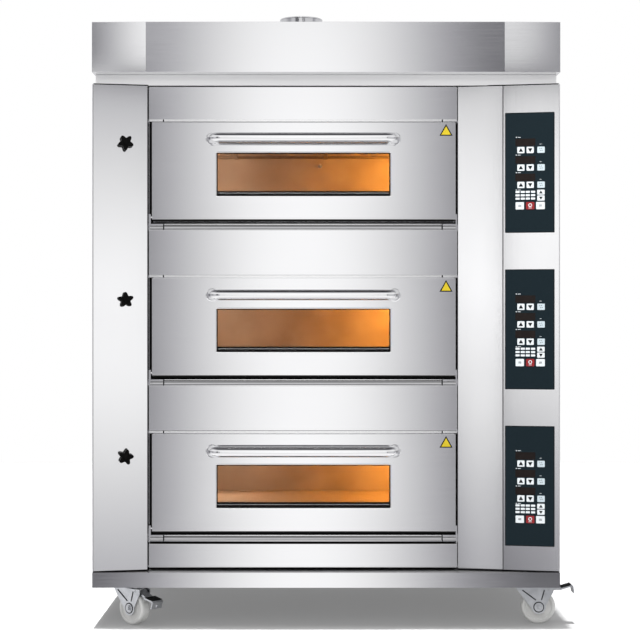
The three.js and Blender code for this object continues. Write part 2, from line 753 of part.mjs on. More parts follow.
function castors() {
  // the front left castor stands braked, its pedal pressed down
  const places = [
    { place: 'front_left', x: -CASTOR_X, y: CASTOR_FRONT, angle: -40, pressed: PEDAL_PRESS },
    { place: 'front_right', x: CASTOR_X, y: CASTOR_FRONT, angle: 0, pressed: 0 },
    { place: 'rear_left', x: -CASTOR_X, y: CASTOR_REAR, angle: 60 },
    { place: 'rear_right', x: CASTOR_X, y: CASTOR_REAR, angle: 100 },
  ];
  for (const { place, x, y, angle, pressed } of places) {
    const group = castorGroup(x, y, angle);
    const braked = pressed !== undefined;
    castorFork(`castor_fork_${place}`, group, braked);
    castorWheel(`castor_wheel_${place}`, group);
    if (braked) {
      castorPedal(`brake_pedal_${place}`, group, pressed);
    }
  }
}

// ---- the oven ----------------------------------------------------------------

const leftWing = wingLine(LEFT_WING_INNER);
const rightWing = wingLine(RIGHT_WING_INNER);

baseFrame();
leftColumn(leftWing);
rightColumn(rightWing);
innerColumn();
sidePanels();
backPanel();
cableGland();
topCover(leftWing, rightWing);
hood();
flueStub();
fascias();
frontFrame();
flueDuct();
DOOR_BOTTOMS.forEach((bottom, index) => {
  const deck = index + 1;
  chamber(deck, bottom, leftWing);
  hearth(deck, bottom);
  heaters(deck, bottom);
  doorShell(deck, bottom);
  doorGlass(deck, bottom);
  doorLiner(deck, bottom);
  doorHandle(deck, bottom);
  damper(deck, bottom, leftWing);
  controlPanel(deck, bottom, rightWing);
});
castors();

// the origin is the bottom centre of the whole oven's box
oven.updateMatrixWorld(true);
const extent = new THREE.Box3().setFromObject(oven, true);
const middle = extent.getCenter(new THREE.Vector3());
oven.children.forEach((child) => child.position.add(new THREE.Vector3(-middle.x, -middle.y, -extent.min.z)));

const deckOven = new THREE.Group();
deckOven.add(oven);
export default deckOven;
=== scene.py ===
"""A three-deck bakery oven in polished sheet steel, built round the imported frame.

Pieces take their places and main sizes from the frame's nodes and joints, and small fittings
have sizes of their own. Lengths are millimetres in the drawing frame: x = 0 on the casing's
middle, y = 0 on the plinth's front face, z = 0 on the floor.
"""

import json
import math

import bmesh
import bpy
from mathutils import Matrix, Vector

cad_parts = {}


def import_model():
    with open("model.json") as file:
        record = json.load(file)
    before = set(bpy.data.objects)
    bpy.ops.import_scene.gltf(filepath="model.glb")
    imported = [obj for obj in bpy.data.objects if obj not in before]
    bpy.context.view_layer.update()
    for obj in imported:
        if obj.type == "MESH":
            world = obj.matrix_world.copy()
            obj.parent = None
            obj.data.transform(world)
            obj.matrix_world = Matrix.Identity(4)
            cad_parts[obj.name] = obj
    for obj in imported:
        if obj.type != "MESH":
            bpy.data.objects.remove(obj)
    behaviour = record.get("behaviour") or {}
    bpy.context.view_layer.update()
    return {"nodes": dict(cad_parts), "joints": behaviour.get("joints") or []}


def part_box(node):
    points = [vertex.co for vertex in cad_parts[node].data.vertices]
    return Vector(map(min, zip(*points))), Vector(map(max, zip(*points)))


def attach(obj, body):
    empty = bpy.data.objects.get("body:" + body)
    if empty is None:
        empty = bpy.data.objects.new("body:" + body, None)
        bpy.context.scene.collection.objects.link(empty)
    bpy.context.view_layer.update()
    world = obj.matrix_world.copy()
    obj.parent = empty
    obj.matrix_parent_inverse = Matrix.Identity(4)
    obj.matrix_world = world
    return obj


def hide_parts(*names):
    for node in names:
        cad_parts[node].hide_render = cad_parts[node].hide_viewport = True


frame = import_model()

MM = 0.001
plinth_low, plinth_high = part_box("base_frame")
PLINTH_X = (plinth_low.x + plinth_high.x) / 2
TO_ROW = Matrix.Translation((PLINTH_X, plinth_low.y, 0)) @ Matrix.Scale(MM, 4)
FROM_ROW = TO_ROW.inverted()
DECKS = (1, 2, 3)


def limits(node):
    """A node's lowest and highest corner in the drawing frame, in millimetres."""
    low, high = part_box(node)
    return FROM_ROW @ low, FROM_ROW @ high


def middle_of(node):
    """The middle of a node's box in the drawing frame."""
    low, high = limits(node)
    return (low + high) / 2


def added(name, data):
    """A new object in the scene."""
    made = bpy.data.objects.new(name, data)
    bpy.context.scene.collection.objects.link(made)
    return made


def between(low, high, count):
    """Evenly spaced values with both ends."""
    return [low + (high - low) * i / (count - 1) for i in range(count)]


# ---- shaping ----

WELD = 0.01
FLAT = math.radians(0.5)
SHARP = math.radians(35)
FOLD, BEND = math.radians(1), math.radians(4)  # a shallow fold in a sheet stays crisp


def turned_to(direction):
    """The turn that brings +Z onto a direction."""
    return Vector(direction).to_track_quat("Z", "Y").to_matrix().to_4x4()


def round_points(radius, sides):
    steps = (2 * math.pi * i / sides for i in range(sides))
    return [(radius * math.cos(a), radius * math.sin(a)) for a in steps]


def quarter(steps):
    """The angles of a quarter turn, from 0 to 90 degrees."""
    return [math.pi / 2 * i / steps for i in range(steps + 1)]


def washer(inner, outer, thick):
    """The profile of a plain flat ring."""
    return [(inner, 0), (outer, 0), (outer, thick), (inner, thick)]


def rounded_rectangle(width, height, radius, steps=4):
    """An outline about the origin with rounded corners, anticlockwise."""
    points = []
    for corner, (side_x, side_y) in enumerate(((1, 1), (-1, 1), (-1, -1), (1, -1))):
        x, y = side_x * (width / 2 - radius), side_y * (height / 2 - radius)
        for angle in quarter(steps):
            turned = angle + corner * math.pi / 2
            points.append((x + radius * math.cos(turned), y + radius * math.sin(turned)))
    return points


class Shape:
    """Closed bodies gathered into one piece, in millimetres."""

    def __init__(self, place=None):
        self.whole = bmesh.new()
        self.place = place or Matrix()

    def take(self, part, finish=0, bevel=0.0, place=None, folded=False):
        """Bevels a body's sharp edges, gives it a finish and puts it in the piece."""
        if bevel:
            edges = [e for e in part.edges if e.is_manifold and e.calc_face_angle(0) > SHARP]
            bmesh.ops.bevel(
                part, geom=edges, offset=bevel, segments=2, profile=0.5, affect="EDGES", clamp_overlap=True,
            )
        if folded:
            for edge in part.edges:
                edge.smooth = not FOLD < edge.calc_face_angle(0) < BEND
        for face in part.faces:
            face.material_index = finish
        part.transform(self.place @ (place or Matrix()))
        data = bpy.data.meshes.new("part")
        part.to_mesh(data)
        part.free()
        self.whole.from_mesh(data)
        bpy.data.meshes.remove(data)
        return self

    def box(self, low, high, bevel=0.6, **more):
        part = bmesh.new()
        size = Vector(high) - Vector(low)
        middle = (Vector(high) + Vector(low)) / 2
        place = Matrix.Translation(middle) @ Matrix.Diagonal((*size, 1))
        bmesh.ops.create_cube(part, size=1, matrix=place)
        return self.take(part, bevel=bevel, **more)

    def prism(self, outline, thickness, bevel=0.0, place=None, **more):
        """An outline in the local x, y plane, raised along local z."""
        part = bmesh.new()
        base = part.faces.new([part.verts.new((x, y, 0)) for x, y in outline])
        raised = bmesh.ops.extrude_face_region(part, geom=[base])
        moved = [v for v in raised["geom"] if isinstance(v, bmesh.types.BMVert)]
        bmesh.ops.translate(part, verts=moved, vec=(0, 0, thickness))
        bmesh.ops.recalc_face_normals(part, faces=part.faces)
        return self.take(part, bevel=bevel, place=place, **more)

    def rod(self, radius, start, end, sides=24, bevel=0.0):
        span = Vector(end) - Vector(start)
        place = Matrix.Translation(start) @ turned_to(span)
        return self.prism(round_points(radius, sides), span.length, bevel=bevel, place=place)

    def lathe(self, profile, centre=(0, 0, 0), axis=(0, 0, 1), sides=48, **more):
        """A closed (radius, height) profile turned round an axis."""
        part = bmesh.new()
        rows = []
        for radius, height in profile:
            circle = round_points(radius, sides) if radius else [(0, 0)]
            rows.append([part.verts.new((x, y, height)) for x, y in circle])
        closed = profile[0][0] > 0
        for low, high in zip(rows, rows[1:] + rows[:1] if closed else rows[1:]):
            for i in range(sides):
                j = (i + 1) % sides
                ring = [low[i % len(low)], low[j % len(low)], high[j % len(high)], high[i % len(high)]]
                ring = [v for n, v in enumerate(ring) if v is not ring[n - 1]]
                if len(ring) > 2:
                    part.faces.new(ring)
        bmesh.ops.recalc_face_normals(part, faces=part.faces)
        return self.take(part, place=Matrix.Translation(centre) @ turned_to(axis), **more)

    def sweep(self, path, section, finish=0, closed=False):
        """A closed section carried along a path without twisting."""
        part = bmesh.new()
        points = [Vector(p) for p in path]
        rows, normal = [], None
        ends = (points[-1:], points[:1]) if closed else (points[:1], points[-1:])
        for before, point, after in zip(ends[0] + points, points, points[1:] + ends[1]):
            along = (after - before).normalized()
            if normal is None:
                normal = along.orthogonal() if abs(along.z) > 0.9 else along.cross(Vector((0, 0, 1)))
            normal = (normal - along * normal.dot(along)).normalized()
            across = along.cross(normal)
            rows.append([part.verts.new(point + normal * u + across * v) for u, v in section])
        if not closed:
            part.faces.new(rows[0])
            part.faces.new(rows[-1])
        for near, far in zip(rows, rows[1:] + rows[:1] if closed else rows[1:]):
            for j in range(len(section)):
                part.faces.new((near[j - 1], near[j], far[j], far[j - 1]))
        bmesh.ops.recalc_face_normals(part, faces=part.faces)
        return self.take(part, finish=finish)

    def node(self, name, bevel=0.0):
        """A copy of a CAD node with its flat faces joined up and its edges rounded."""
        part = bmesh.new()
        part.from_mesh(frame["nodes"][name].data)
        part.transform(FROM_ROW)
        bmesh.ops.remove_doubles(part, verts=part.verts, dist=WELD)
        bmesh.ops.dissolve_limit(part, angle_limit=FLAT, verts=part.verts, edges=part.edges)
        return self.take(part, bevel=bevel, folded=True)

    def piece(self, name, body, finishes, slot, replaces=None):
        """Makes the Blender object, riding on a body, in place of a CAD node or beside them."""
        for face in self.whole.faces:
            face.smooth = True
        for edge in self.whole.edges:
            edge.smooth = edge.smooth and edge.calc_face_angle(0) < SHARP
        self.whole.transform(TO_ROW)
        data = bpy.data.meshes.new(name)
        self.whole.to_mesh(data)
        self.whole.free()
        made = added(name, data)
        for finish in finishes if isinstance(finishes, tuple) else [finishes]:
            data.materials.append(finish)
        normals = made.modifiers.new("flat faces stay flat", "WEIGHTED_NORMAL")
        normals.keep_sharp = True
        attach(made, body)
        if replaces:
            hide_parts(replaces)


def softened(node, finish, slot, bevel=1.0, body="root", extra=None, place=None):
    """Stands for a CAD node: the same shape with rounded edges, and what extra adds."""
    shape = Shape().node(node, bevel=bevel)
    if extra:
        shape.place = place or Matrix()
        extra(shape)
    shape.piece(f"{node}.sheet", body, finish, slot, replaces=node)


# ---- materials ----


class Graph:
    """Short forms for building a node tree."""

    def __init__(self, tree):
        self.tree = tree

    def feed(self, socket, value):
        if isinstance(value, bpy.types.NodeSocket):
            self.tree.links.new(value, socket)
        else:
            socket.default_value = value

    def node(self, kind, inputs=(), **settings):
        made = self.tree.nodes.new("ShaderNode" + kind)
        for key, value in settings.items():
            setattr(made, key, value)
        for key, value in dict(inputs).items():
            self.feed(made.inputs[key], value)
        return made

    def spread(self, value, low, high):
        """0 at low, 1 at high, and straight between."""
        return self.node("MapRange", {"Value": value, "From Min": low, "From Max": high}).outputs[0]

    def math(self, operation, a, b=0.0, c=0.0):
        made = self.node("Math", operation=operation)
        for socket, value in zip(made.inputs, (a, b, c)):
            self.feed(socket, value)
        return made.outputs[0]

    def place(self, stretch=(1, 1, 1)):
        """The piece's own coordinates in metres, stretched."""
        source = self.node("TexCoord").outputs["Object"]
        return self.node("Mapping", {"Vector": source, "Scale": stretch}).outputs[0]

    def noise(self, scale, detail, stretch=(1, 1, 1)):
        inputs = {"Vector": self.place(stretch), "Scale": scale, "Detail": detail}
        return self.node("TexNoise", inputs).outputs["Fac"]

    def between(self, share, low, high):
        return self.node("MapRange", {"Value": share, "To Min": low, "To Max": high}).outputs[0]

    def blend(self, share, first, second):
        made = self.node("Mix", data_type="RGBA")
        self.feed(made.inputs[0], share)
        for socket, colour in ((6, first), (7, second)):
            self.feed(made.inputs[socket], (*colour, 1) if isinstance(colour, tuple) else colour)
        return made.outputs[2]

    def bump(self, height, depth):
        """Relief of the given depth in metres."""
        return self.node("Bump", {"Height": height, "Distance": depth}).outputs[0]


class Surface(Graph):
    """A Principled material's graph; fixed values are set on the shader's sockets."""

    def __init__(self, name, **fixed):
        self.material = bpy.data.materials.new(name)
        self.material.use_nodes = True
        super().__init__(self.material.node_tree)
        self.shader = self.tree.nodes["Principled BSDF"].inputs
        for key, value in fixed.items():
            self.shader[key.replace("_", " ")].default_value = value

    def made(self, colour, roughness=None, relief=None):
        """The material, once its colour, roughness and relief are fed."""
        for socket, value in (("Base Color", colour), ("Roughness", roughness), ("Normal", relief)):
            if value is not None:
                self.feed(self.shader[socket], value)
        return self.material


def grey(level):
    return (level, level, level)


def steel(name, colour, roughness, grain, lines=0.00002):
    """Sheet steel with a fine grain; grain stretches the noise across the lines."""
    surface = Surface(name, Metallic=1.0)
    fine, smear = surface.noise(1.0, 3.0, grain), surface.noise(3.0, 3.0)
    tints = (tuple(min(1.0, c * share) for c in colour) for share in (0.97, 1.03))
    tint = surface.blend(fine, *tints)
    spread = surface.math("ADD", surface.between(fine, -0.03, 0.03), surface.between(smear, -0.02, 0.03))
    return surface.made(tint, surface.math("ADD", spread, roughness), surface.bump(fine, lines))


def mottled(name, dark, light, roughness, scale, depth=0.00004, **fixed):
    """A cast, moulded or plated surface: two tones and a fine relief."""
    surface = Surface(name, **fixed)
    patches, grit = surface.noise(scale, 4.0), surface.noise(scale * 9, 3.0)
    colour = surface.blend(surface.between(patches, -0.4, 1.4), dark, light)
    spread = surface.between(grit, roughness - 0.08, roughness + 0.1)
    return surface.made(colour, spread, surface.bump(grit, depth))


WHITE = grey(1.0)
POLISHED = (0.735, 0.735, 0.745)
ALONG_X, ALONG_Z, TURNED = (12, 60, 900), (900, 60, 12), (40, 40, 900)
MIRROR_LINES = 0.000004  # relief of a polished grain, in metres
FILM_RELIEF = 0.000008
DULL = {"Specular_IOR_Level": 0.12}  # dark plastic and film that hardly mirror

polished_level = steel("polished_steel_level", POLISHED, 0.08, ALONG_X, MIRROR_LINES)
polished_upright = steel("polished_steel_upright", POLISHED, 0.08, ALONG_Z, MIRROR_LINES)
satin_upright = steel("satin_steel_upright", (0.74, 0.74, 0.75), 0.36, ALONG_Z)
satin_level = steel("satin_steel_level", (0.7, 0.7, 0.71), 0.36, ALONG_X)
bright_satin = steel("bright_satin_steel", grey(0.9), 0.36, ALONG_X)
rail_steel = steel("rail_steel", (0.3, 0.3, 0.305), 0.34, ALONG_X)
tube_steel = steel("tube_steel", (0.74, 0.74, 0.75), 0.07, (9, 700, 700), MIRROR_LINES)
trim_steel = steel("trim_steel", grey(0.86), 0.16, (300, 300, 300), MIRROR_LINES)
stub_steel = steel("stub_steel", (0.72, 0.72, 0.73), 0.12, TURNED, 0.00001)

zinc = mottled("bright_zinc", (0.36, 0.37, 0.39), (0.48, 0.49, 0.51), 0.3, 60, Metallic=1.0)
# near-black zinc for the washers and bearing shields; on the fork's creases it is painted shade
dark_zinc_and_crease_shade = mottled("dark_zinc_and_crease_shade", (0.02, 0.02, 0.022), (0.05, 0.05, 0.053), 0.4, 60, Metallic=1.0)
plate_alloy = mottled("plate_alloy", (0.6, 0.61, 0.62), (0.7, 0.71, 0.72), 0.35, 60, Metallic=1.0)
weld_steel = mottled("weld_steel", (0.36, 0.33, 0.31), (0.6, 0.58, 0.56), 0.4, 160, 0.0001, Metallic=1.0)
chamber_steel = mottled("chamber_steel", (0.34, 0.27, 0.21), (0.5, 0.42, 0.34), 0.5, 9, Metallic=0.4)
heater_sheath = mottled("heater_sheath", (0.2, 0.16, 0.13), (0.32, 0.26, 0.2), 0.6, 70, Metallic=0.8)

black_plastic = mottled(
    "black_plastic", grey(0.002), grey(0.005), 0.3, 120, 0.00003, Specular_IOR_Level=0.02,
)
# near-black rubber for seals, spacers and grips; also the strips laid in gaps and on door hems as painted
# shade
dark_rubber_and_gap_shade = mottled("dark_rubber_and_gap_shade", grey(0.004), grey(0.01), 0.8, 150, **DULL)
white_nylon = mottled("white_nylon", (0.5, 0.5, 0.49), (0.6, 0.6, 0.585), 0.42, 40, 0.00003)
label_yellow = mottled("label_yellow", (0.52, 0.39, 0.005), (0.6, 0.46, 0.008), 0.45, 90, 0.00001)
panel_edge = mottled("panel_edge", (0.004, 0.006, 0.008), (0.007, 0.01, 0.012), 0.45, 200, **DULL)


def film(name, dark, light, roughness, scale=300, depth=FILM_RELIEF, **fixed):
    """Printed membrane film."""
    return mottled(name, dark, light, roughness, scale, depth, **fixed)


panel_film = film("panel_film", (0.006, 0.0125, 0.0165), (0.0085, 0.0165, 0.0215), 0.34, **DULL)
white_key = film("white_key", (0.66, 0.7, 0.72), (0.74, 0.78, 0.8), 0.4)
pale_key = film("pale_key", (0.46, 0.54, 0.58), (0.56, 0.64, 0.68), 0.4)
red_key = film("red_key", (0.2, 0.006, 0.008), (0.28, 0.009, 0.012), 0.36)
key_mark = film("key_mark", (0.004, 0.005, 0.006), (0.008, 0.009, 0.01), 0.5, **DULL)
display_window = film(
    "display_window", (0.01, 0.0075, 0.007), (0.015, 0.011, 0.01), 0.16, 90, MIRROR_LINES, **DULL,
)


def hearth_stone_material():
    """Cordierite: warm beige, speckled, slightly open-grained, toasted in patches."""
    surface = Surface("hearth_stone")
    toast, speck = surface.noise(5, 4.0), surface.noise(420, 2.0)
    base = surface.blend(toast, (0.36, 0.27, 0.19), (0.56, 0.46, 0.35))
    colour = surface.blend(surface.math("GREATER_THAN", speck, 0.64), base, (0.16, 0.12, 0.09))
    return surface.made(colour, surface.between(speck, 0.75, 0.95), surface.bump(speck, 0.0004))


def glass_material():
    """Heat-proof glass, faintly smeared."""
    surface = Surface("window_glass", Transmission_Weight=1.0, IOR=1.07)
    smear = surface.noise(14, 3.0)
    return surface.made(surface.blend(smear, (0.94, 0.96, 0.95), WHITE), surface.between(smear, 0.0, 0.03))


def rope_material():
    """Glass-fibre seal: twisted strands in off-white."""
    surface = Surface("seal_fibre")
    twist = {"Vector": surface.place((1, 0.4, 1)), "Scale": 90.0, "Distortion": 1.0, "Detail": 2.0}
    waves = surface.node("TexWave", twist, bands_direction="DIAGONAL").outputs["Fac"]
    colour = surface.blend(waves, (0.3, 0.28, 0.24), (0.62, 0.6, 0.54))
    return surface.made(colour, surface.between(waves, 0.95, 0.8), surface.bump(waves, 0.0008))


def lamp_material():
    surface = Surface("lamp_glow", Emission_Strength=9.0)
    uneven = surface.noise(30, 2.0)
    colour = surface.blend(uneven, (0.9, 0.6, 0.3), (1.0, 0.75, 0.45))
    glow = surface.blend(uneven, (1.0, 0.45, 0.1), (1.0, 0.55, 0.16))
    surface.feed(surface.shader["Emission Color"], glow)
    return surface.made(colour)


hearth_stone = hearth_stone_material()
window_glass = glass_material()
seal_rope = rope_material()
lamp_glow = lamp_material()

# ---- camera, light and floor ----

CAMERA = Vector((-17, -4500, 858))
LENS = 91.1

# What a mirror sees ahead by height: sine of the elevation, level, share of the ring around.
SKY = (
    (-1.0, 0.04, 0), (-0.978, 0.05, 0), (-0.883, 1.25, 0), (-0.454, 1.2, 0), (-0.375, 0.66, 0),
    (-0.225, 0.66, 0), (-0.165, 0.0, 1), (0.208, 0.0, 1), (0.276, 1.1, 0), (0.6, 1.1, 0),
    (0.74, 0.6, 0), (0.83, 0.14, 0), (0.9, 0.03, 0),
)
# The ring at eye height: degrees to the right of straight ahead, and level.
RING = (
    (-180, 0.7), (-110, 0.6), (-90, 0.42), (-62, 0.42), (-52, 0.7), (-36, 0.7), (-29, 0.1), (-18, 0.12),
    (17, 0.12), (23, 0.75), (62, 0.75), (74, 0.36), (88, 0.36), (102, 0.8), (180, 0.7),
)
BEHIND, POLES = 0.75, 0.05  # levels behind the oven, level and straight up or down
REAR_FADE = (-0.3, 0.1)  # along y, where the studio in front gives way to the plain rear
SIDEWAYS = 0.02  # the least a direction counts as pointing ahead, so its slopes stay finite
COOL = (0.97, 0.96, 1.06)

HOOD_EDGE = (0.1495, 0.1545)  # the slope up where the hood's own lights begin
# Soft lights ahead: place across and up as slopes, half sizes, how square each fade is,
# radiance, and whether it stands below that edge, above it, or both.
SOFT_LIGHTS = (
    ((-0.01, 0.0), (0.083, 0.34), (2.6, 4), 1.2, "both"),
    ((-0.165, 0.17), (0.036, 0.2), (2.4, 4), 1.2, "above"),
    ((0.182, 0.17), (0.0315, 0.2), (2, 4), 0.98, "above"),
    ((0.275, 0.0), (0.06, 0.175), (8, 2), 1.17, "below"),
    ((-0.219, 0.03), (0.0235, 0.2), (16, 1.6), 1.29, "below"),
    ((-0.266, 0.054), (0.0235, 0.16), (16, 2), 1.28, "below"),
)


def camera():
    data = bpy.data.cameras.new("camera")
    data.lens = LENS
    data.sensor_width = 36
    made = added("camera", data)
    made.location = TO_ROW @ CAMERA
    made.rotation_euler = (math.pi / 2, 0, 0)
    bpy.context.scene.camera = made


def ramp(graph, share, stops):
    """A level by position, as a grey colour ramp read as a number."""
    made = graph.node("ValToRGB", {"Fac": share})
    elements = made.color_ramp.elements
    while len(elements) < len(stops):
        elements.new(0.5)
    for element, (position, level) in zip(elements, stops):
        element.position = position
        element.color = (level, level, level, 1)
    return graph.node("SeparateXYZ", {"Vector": made.outputs[0]}).outputs[0]


def soft_light(graph, slopes, centre, half, square):
    """A rectangle of light with soft edges, 1 in its middle and 0 far off."""
    fade = 0.0
    for slope, at, size, power in zip(slopes, centre, half, square):
        off = graph.math("DIVIDE", graph.math("SUBTRACT", slope, at), size)
        fade = graph.math("ADD", graph.math("POWER", graph.math("ABSOLUTE", off), power), fade)
    return graph.math("EXPONENT", graph.math("MULTIPLY", fade, -1.0))


def front_level(graph, x, y, z):
    """The studio in front of the oven: the sky by height, the ring around, the soft lights."""
    away = graph.math("MULTIPLY", y, -1.0)
    ahead = graph.math("MAXIMUM", away, SIDEWAYS)
    across, up = graph.math("DIVIDE", x, ahead), graph.math("DIVIDE", z, ahead)
    height = graph.math("MULTIPLY_ADD", z, 0.5, 0.5)
    around = graph.math("MULTIPLY_ADD", graph.math("ARCTAN2", x, away), 0.5 / math.pi, 0.5)
    sky = ramp(graph, height, [(sine / 2 + 0.5, level) for sine, level, share in SKY])
    share = ramp(graph, height, [(sine / 2 + 0.5, share) for sine, level, share in SKY])
    ring = ramp(graph, around, [(degrees / 360 + 0.5, level) for degrees, level in RING])
    total = graph.math("MULTIPLY_ADD", ring, share, sky)
    above = graph.spread(up, *HOOD_EDGE)
    bands = {"above": above, "below": graph.math("SUBTRACT", 1.0, above), "both": 1.0}
    for centre, half, square, radiance, band in SOFT_LIGHTS:
        light = soft_light(graph, (across, up), centre, half, square)
        light = graph.math("MULTIPLY", light, bands[band])
        total = graph.math("MULTIPLY_ADD", light, radiance, total)
    return total


def world():
    """What the polished sheet mirrors, and for the camera a plain white studio."""
    made = bpy.data.worlds.new("studio")
    made.use_nodes = True
    bpy.context.scene.world = made
    graph = Graph(made.node_tree)
    made.node_tree.nodes.clear()
    direction = graph.node("TexCoord").outputs["Generated"]
    x, y, z = graph.node("SeparateXYZ", {"Vector": direction}).outputs
    total = front_level(graph, x, y, z)
    steep = graph.math("POWER", graph.math("ABSOLUTE", z), 4.0)
    behind = graph.math("MULTIPLY_ADD", steep, POLES - BEHIND, BEHIND)
    rear = graph.spread(y, *REAR_FADE)
    level = graph.node("Mix", {"Factor": rear, "A": total, "B": behind}).outputs[0]
    tint = graph.blend(graph.between(level, 0.0, 1.0), COOL, WHITE)
    mirrored = graph.node("Background", {"Color": tint, "Strength": level})
    plain = graph.node("Background", {"Color": (*WHITE, 1), "Strength": 1.0})
    seen = graph.node("LightPath").outputs["Is Camera Ray"]
    mix = graph.node("MixShader", {0: seen, 1: mirrored.outputs[0], 2: plain.outputs[0]})
    graph.feed(graph.node("OutputWorld").inputs[0], mix.outputs[0])


def area_light(name, place, aim, size, power):
    data = bpy.data.lights.new(name, "AREA")
    data.shape = "RECTANGLE"
    data.size, data.size_y = size
    data.energy = power
    made = added(name, data)
    made.location = TO_ROW @ Vector(place)
    made.rotation_euler = (Vector(aim) - Vector(place)).to_track_quat("-Z", "Y").to_euler()
    made.visible_glossy = False


FLOOR = {"front": -170, "back": 5200, "side": 3600}
FLOOR_GLOW = 0.17  # keeps the oven's shadow on the floor pale
SUN_POWER, SUN_SIZE, SUN_LEAN = 15, 1.2, -1.2  # size and lean in degrees


def floor():
    """A pale floor that ends short in front, so the doors don't mirror it."""
    part = bmesh.new()
    front, back, side = FLOOR["front"], FLOOR["back"], FLOOR["side"]
    corners = [(-side, front), (side, front), (side, back), (-side, back)]
    part.faces.new([part.verts.new(TO_ROW @ Vector((x, y, 0))) for x, y in corners])
    data = bpy.data.meshes.new("floor")
    part.to_mesh(data)
    part.free()
    made = added("floor", data)
    surface = Surface("floor_white", Roughness=0.9, Emission_Strength=FLOOR_GLOW)
    colour = surface.blend(surface.noise(2, 3.0), grey(0.17), grey(0.19))
    glow = surface.blend(surface.noise(2, 3.0), grey(0.98), WHITE)
    surface.feed(surface.shader["Emission Color"], glow)
    data.materials.append(surface.made(colour))
    return made


def floor_sun(lit):
    """A steep hard light that only the floor takes, for the oven's own shadow on it."""
    data = bpy.data.lights.new("floor_sun", "SUN")
    data.energy = SUN_POWER
    data.angle = math.radians(SUN_SIZE)
    made = added("floor_sun", data)
    made.rotation_euler = (0, math.radians(SUN_LEAN), 0)
    takers = bpy.data.collections.new("floor_only")
    takers.objects.link(lit)
    made.light_linking.receiver_collection = takers


bpy.context.scene.view_settings.view_transform = "Standard"
camera()
world()
floor_sun(floor())
area_light("overhead", (0, -500, 4200), (0, 300, 0), (3, 3), 300)
area_light("front_fill", (0, -3200, 2600), (0, 0, 700), (4, 2), 30)

# ---- small fittings ----


def turned(*axes):
    """The turn that brings x, y and z onto three directions."""
    return Matrix(axes).transposed().to_4x4()


def facing(pos, axis):
    """A local frame at a joint's point in the record: y along its axis, z up."""
    axis = Vector(axis).normalized()
    turn = turned(Vector((axis.y, -axis.x, 0)), axis, Vector((0, 0, 1)))
    return Matrix.Translation(FROM_ROW @ Vector(pos)) @ turn


def upright(x, y, z):
    """Turns a drawing plane (x, y) so that its y points up and its thickness comes forward."""
    return Matrix.Translation((x, y, z)) @ Matrix.Rotation(math.pi / 2, 4, "X")


def joint(name):
    return next(entry for entry in frame["joints"] if entry["name"] == name)


def screw(shape, seat, axis, radius=4.5):
    """A button head with a socket."""
    shares = [(0, 0), (1, 0), (1, 0.15), (0.8, 0.45), (0.42, 0.6), (0.38, 0.2), (0, 0.2)]
    shape.lathe([(radius * r, radius * h) for r, h in shares], seat, axis, sides=18)


def hexagon(shape, seat, axis, radius, height, bevel=0.7):
    """A bolt head or nut."""
    place = Matrix.Translation(seat) @ turned_to(axis)
    shape.prism(round_points(radius, 6), height, bevel=bevel, place=place)


def louvre(shape, start, outward, length):
    """A pressed lip over a slot: a quarter-round sheet that is closed at its ends."""
    reach, rise, sheet = 6.0, 9.0, 0.9
    outward = Vector(outward)
    along = outward.cross(Vector((0, 0, 1)))
    place = Matrix.Translation(start) @ turned(outward, Vector((0, 0, 1)), along)
    outer, inner = (
        [((reach - inset) * math.cos(a), (rise - inset) * math.sin(a)) for a in quarter(6)]
        for inset in (0, sheet)
    )
    shape.prism(outer + inner[::-1], length, place=place)
    for offset in (0, length - sheet):
        shape.prism([(0, 0)] + outer, sheet, place=place @ Matrix.Translation((0, 0, offset)))


# ---- casing ----

SHEET_BEVEL = 1.3
SLOT_PITCH = 16
COLUMN_INSET = 30  # a column's inner edge stands this far behind the plinth's face
BODY_TOP = 1513.5  # underside of the top cover's plate
SCREW_INSET = 18
SIDE_SLOTS = {"columns": (60, 220), "rows": [(250, 6), (1360, 6)], "length": 120}
BACK_SLOTS = {"columns": (370, 500), "rows": [(1320, 7)], "length": 100}
BLANK_PLATE = {"x": 470, "z": 420, "width": 130, "height": 84}


def screw_rows(shape, xs, ys, zs, axis, radius=4.5):
    """Screws at every crossing of three lists of places."""
    for x in xs:
        for y in ys:
            for z in zs:
                screw(shape, (x, y, z), axis, radius)


def casing():
    base = Shape().node("base_frame", bevel=SHEET_BEVEL)
    for face in base.whole.faces:
        face.material_index = 1 if face.normal.z > 0.9 else 0
    base.piece("base_frame.sheet", "root", (polished_level, rail_steel), "polished_steel", "base_frame")
    for node in ("fascia_top", "fascia_upper", "fascia_lower", "fascia_bottom"):
        softened(node, polished_level, "polished_steel", SHEET_BEVEL)
    softened("front_frame", polished_level, "polished_steel", 0.8)
    for node, bevel in (("left_column", SHEET_BEVEL), ("right_column", 0), ("inner_column", SHEET_BEVEL)):
        softened(node, polished_upright, "polished_steel", bevel)
    softened("top_cover", bright_satin, "satin_steel", SHEET_BEVEL)
    softened("flue_duct", zinc, "zinc", 0.5)


def top_gap_shade_bead():
    """A dark bead under the top cover, along the columns and the recess: painted shade of the gap between
    the cover and the sheets below.
    """
    (left_out, left_fold), (right_fold, right_out) = limits("left_column"), limits("right_column")
    recess_low, recess_high = limits("fascia_top")
    line = [
        (left_out.x + 1, left_out.y + 1), (left_fold.x, COLUMN_INSET + 0.5),
        (recess_low.x, recess_low.y + 0.5), (recess_high.x, recess_low.y + 0.5),
        (right_fold.x, COLUMN_INSET + 0.5), (right_out.x - 1, right_fold.y + 1),
    ]
    bead = Shape().sweep([(x, y, BODY_TOP + 0.9) for x, y in line], round_points(1.7, 10))
    bead.piece("top_gap_shade_bead", "root", dark_rubber_and_gap_shade, "seal_fibre")


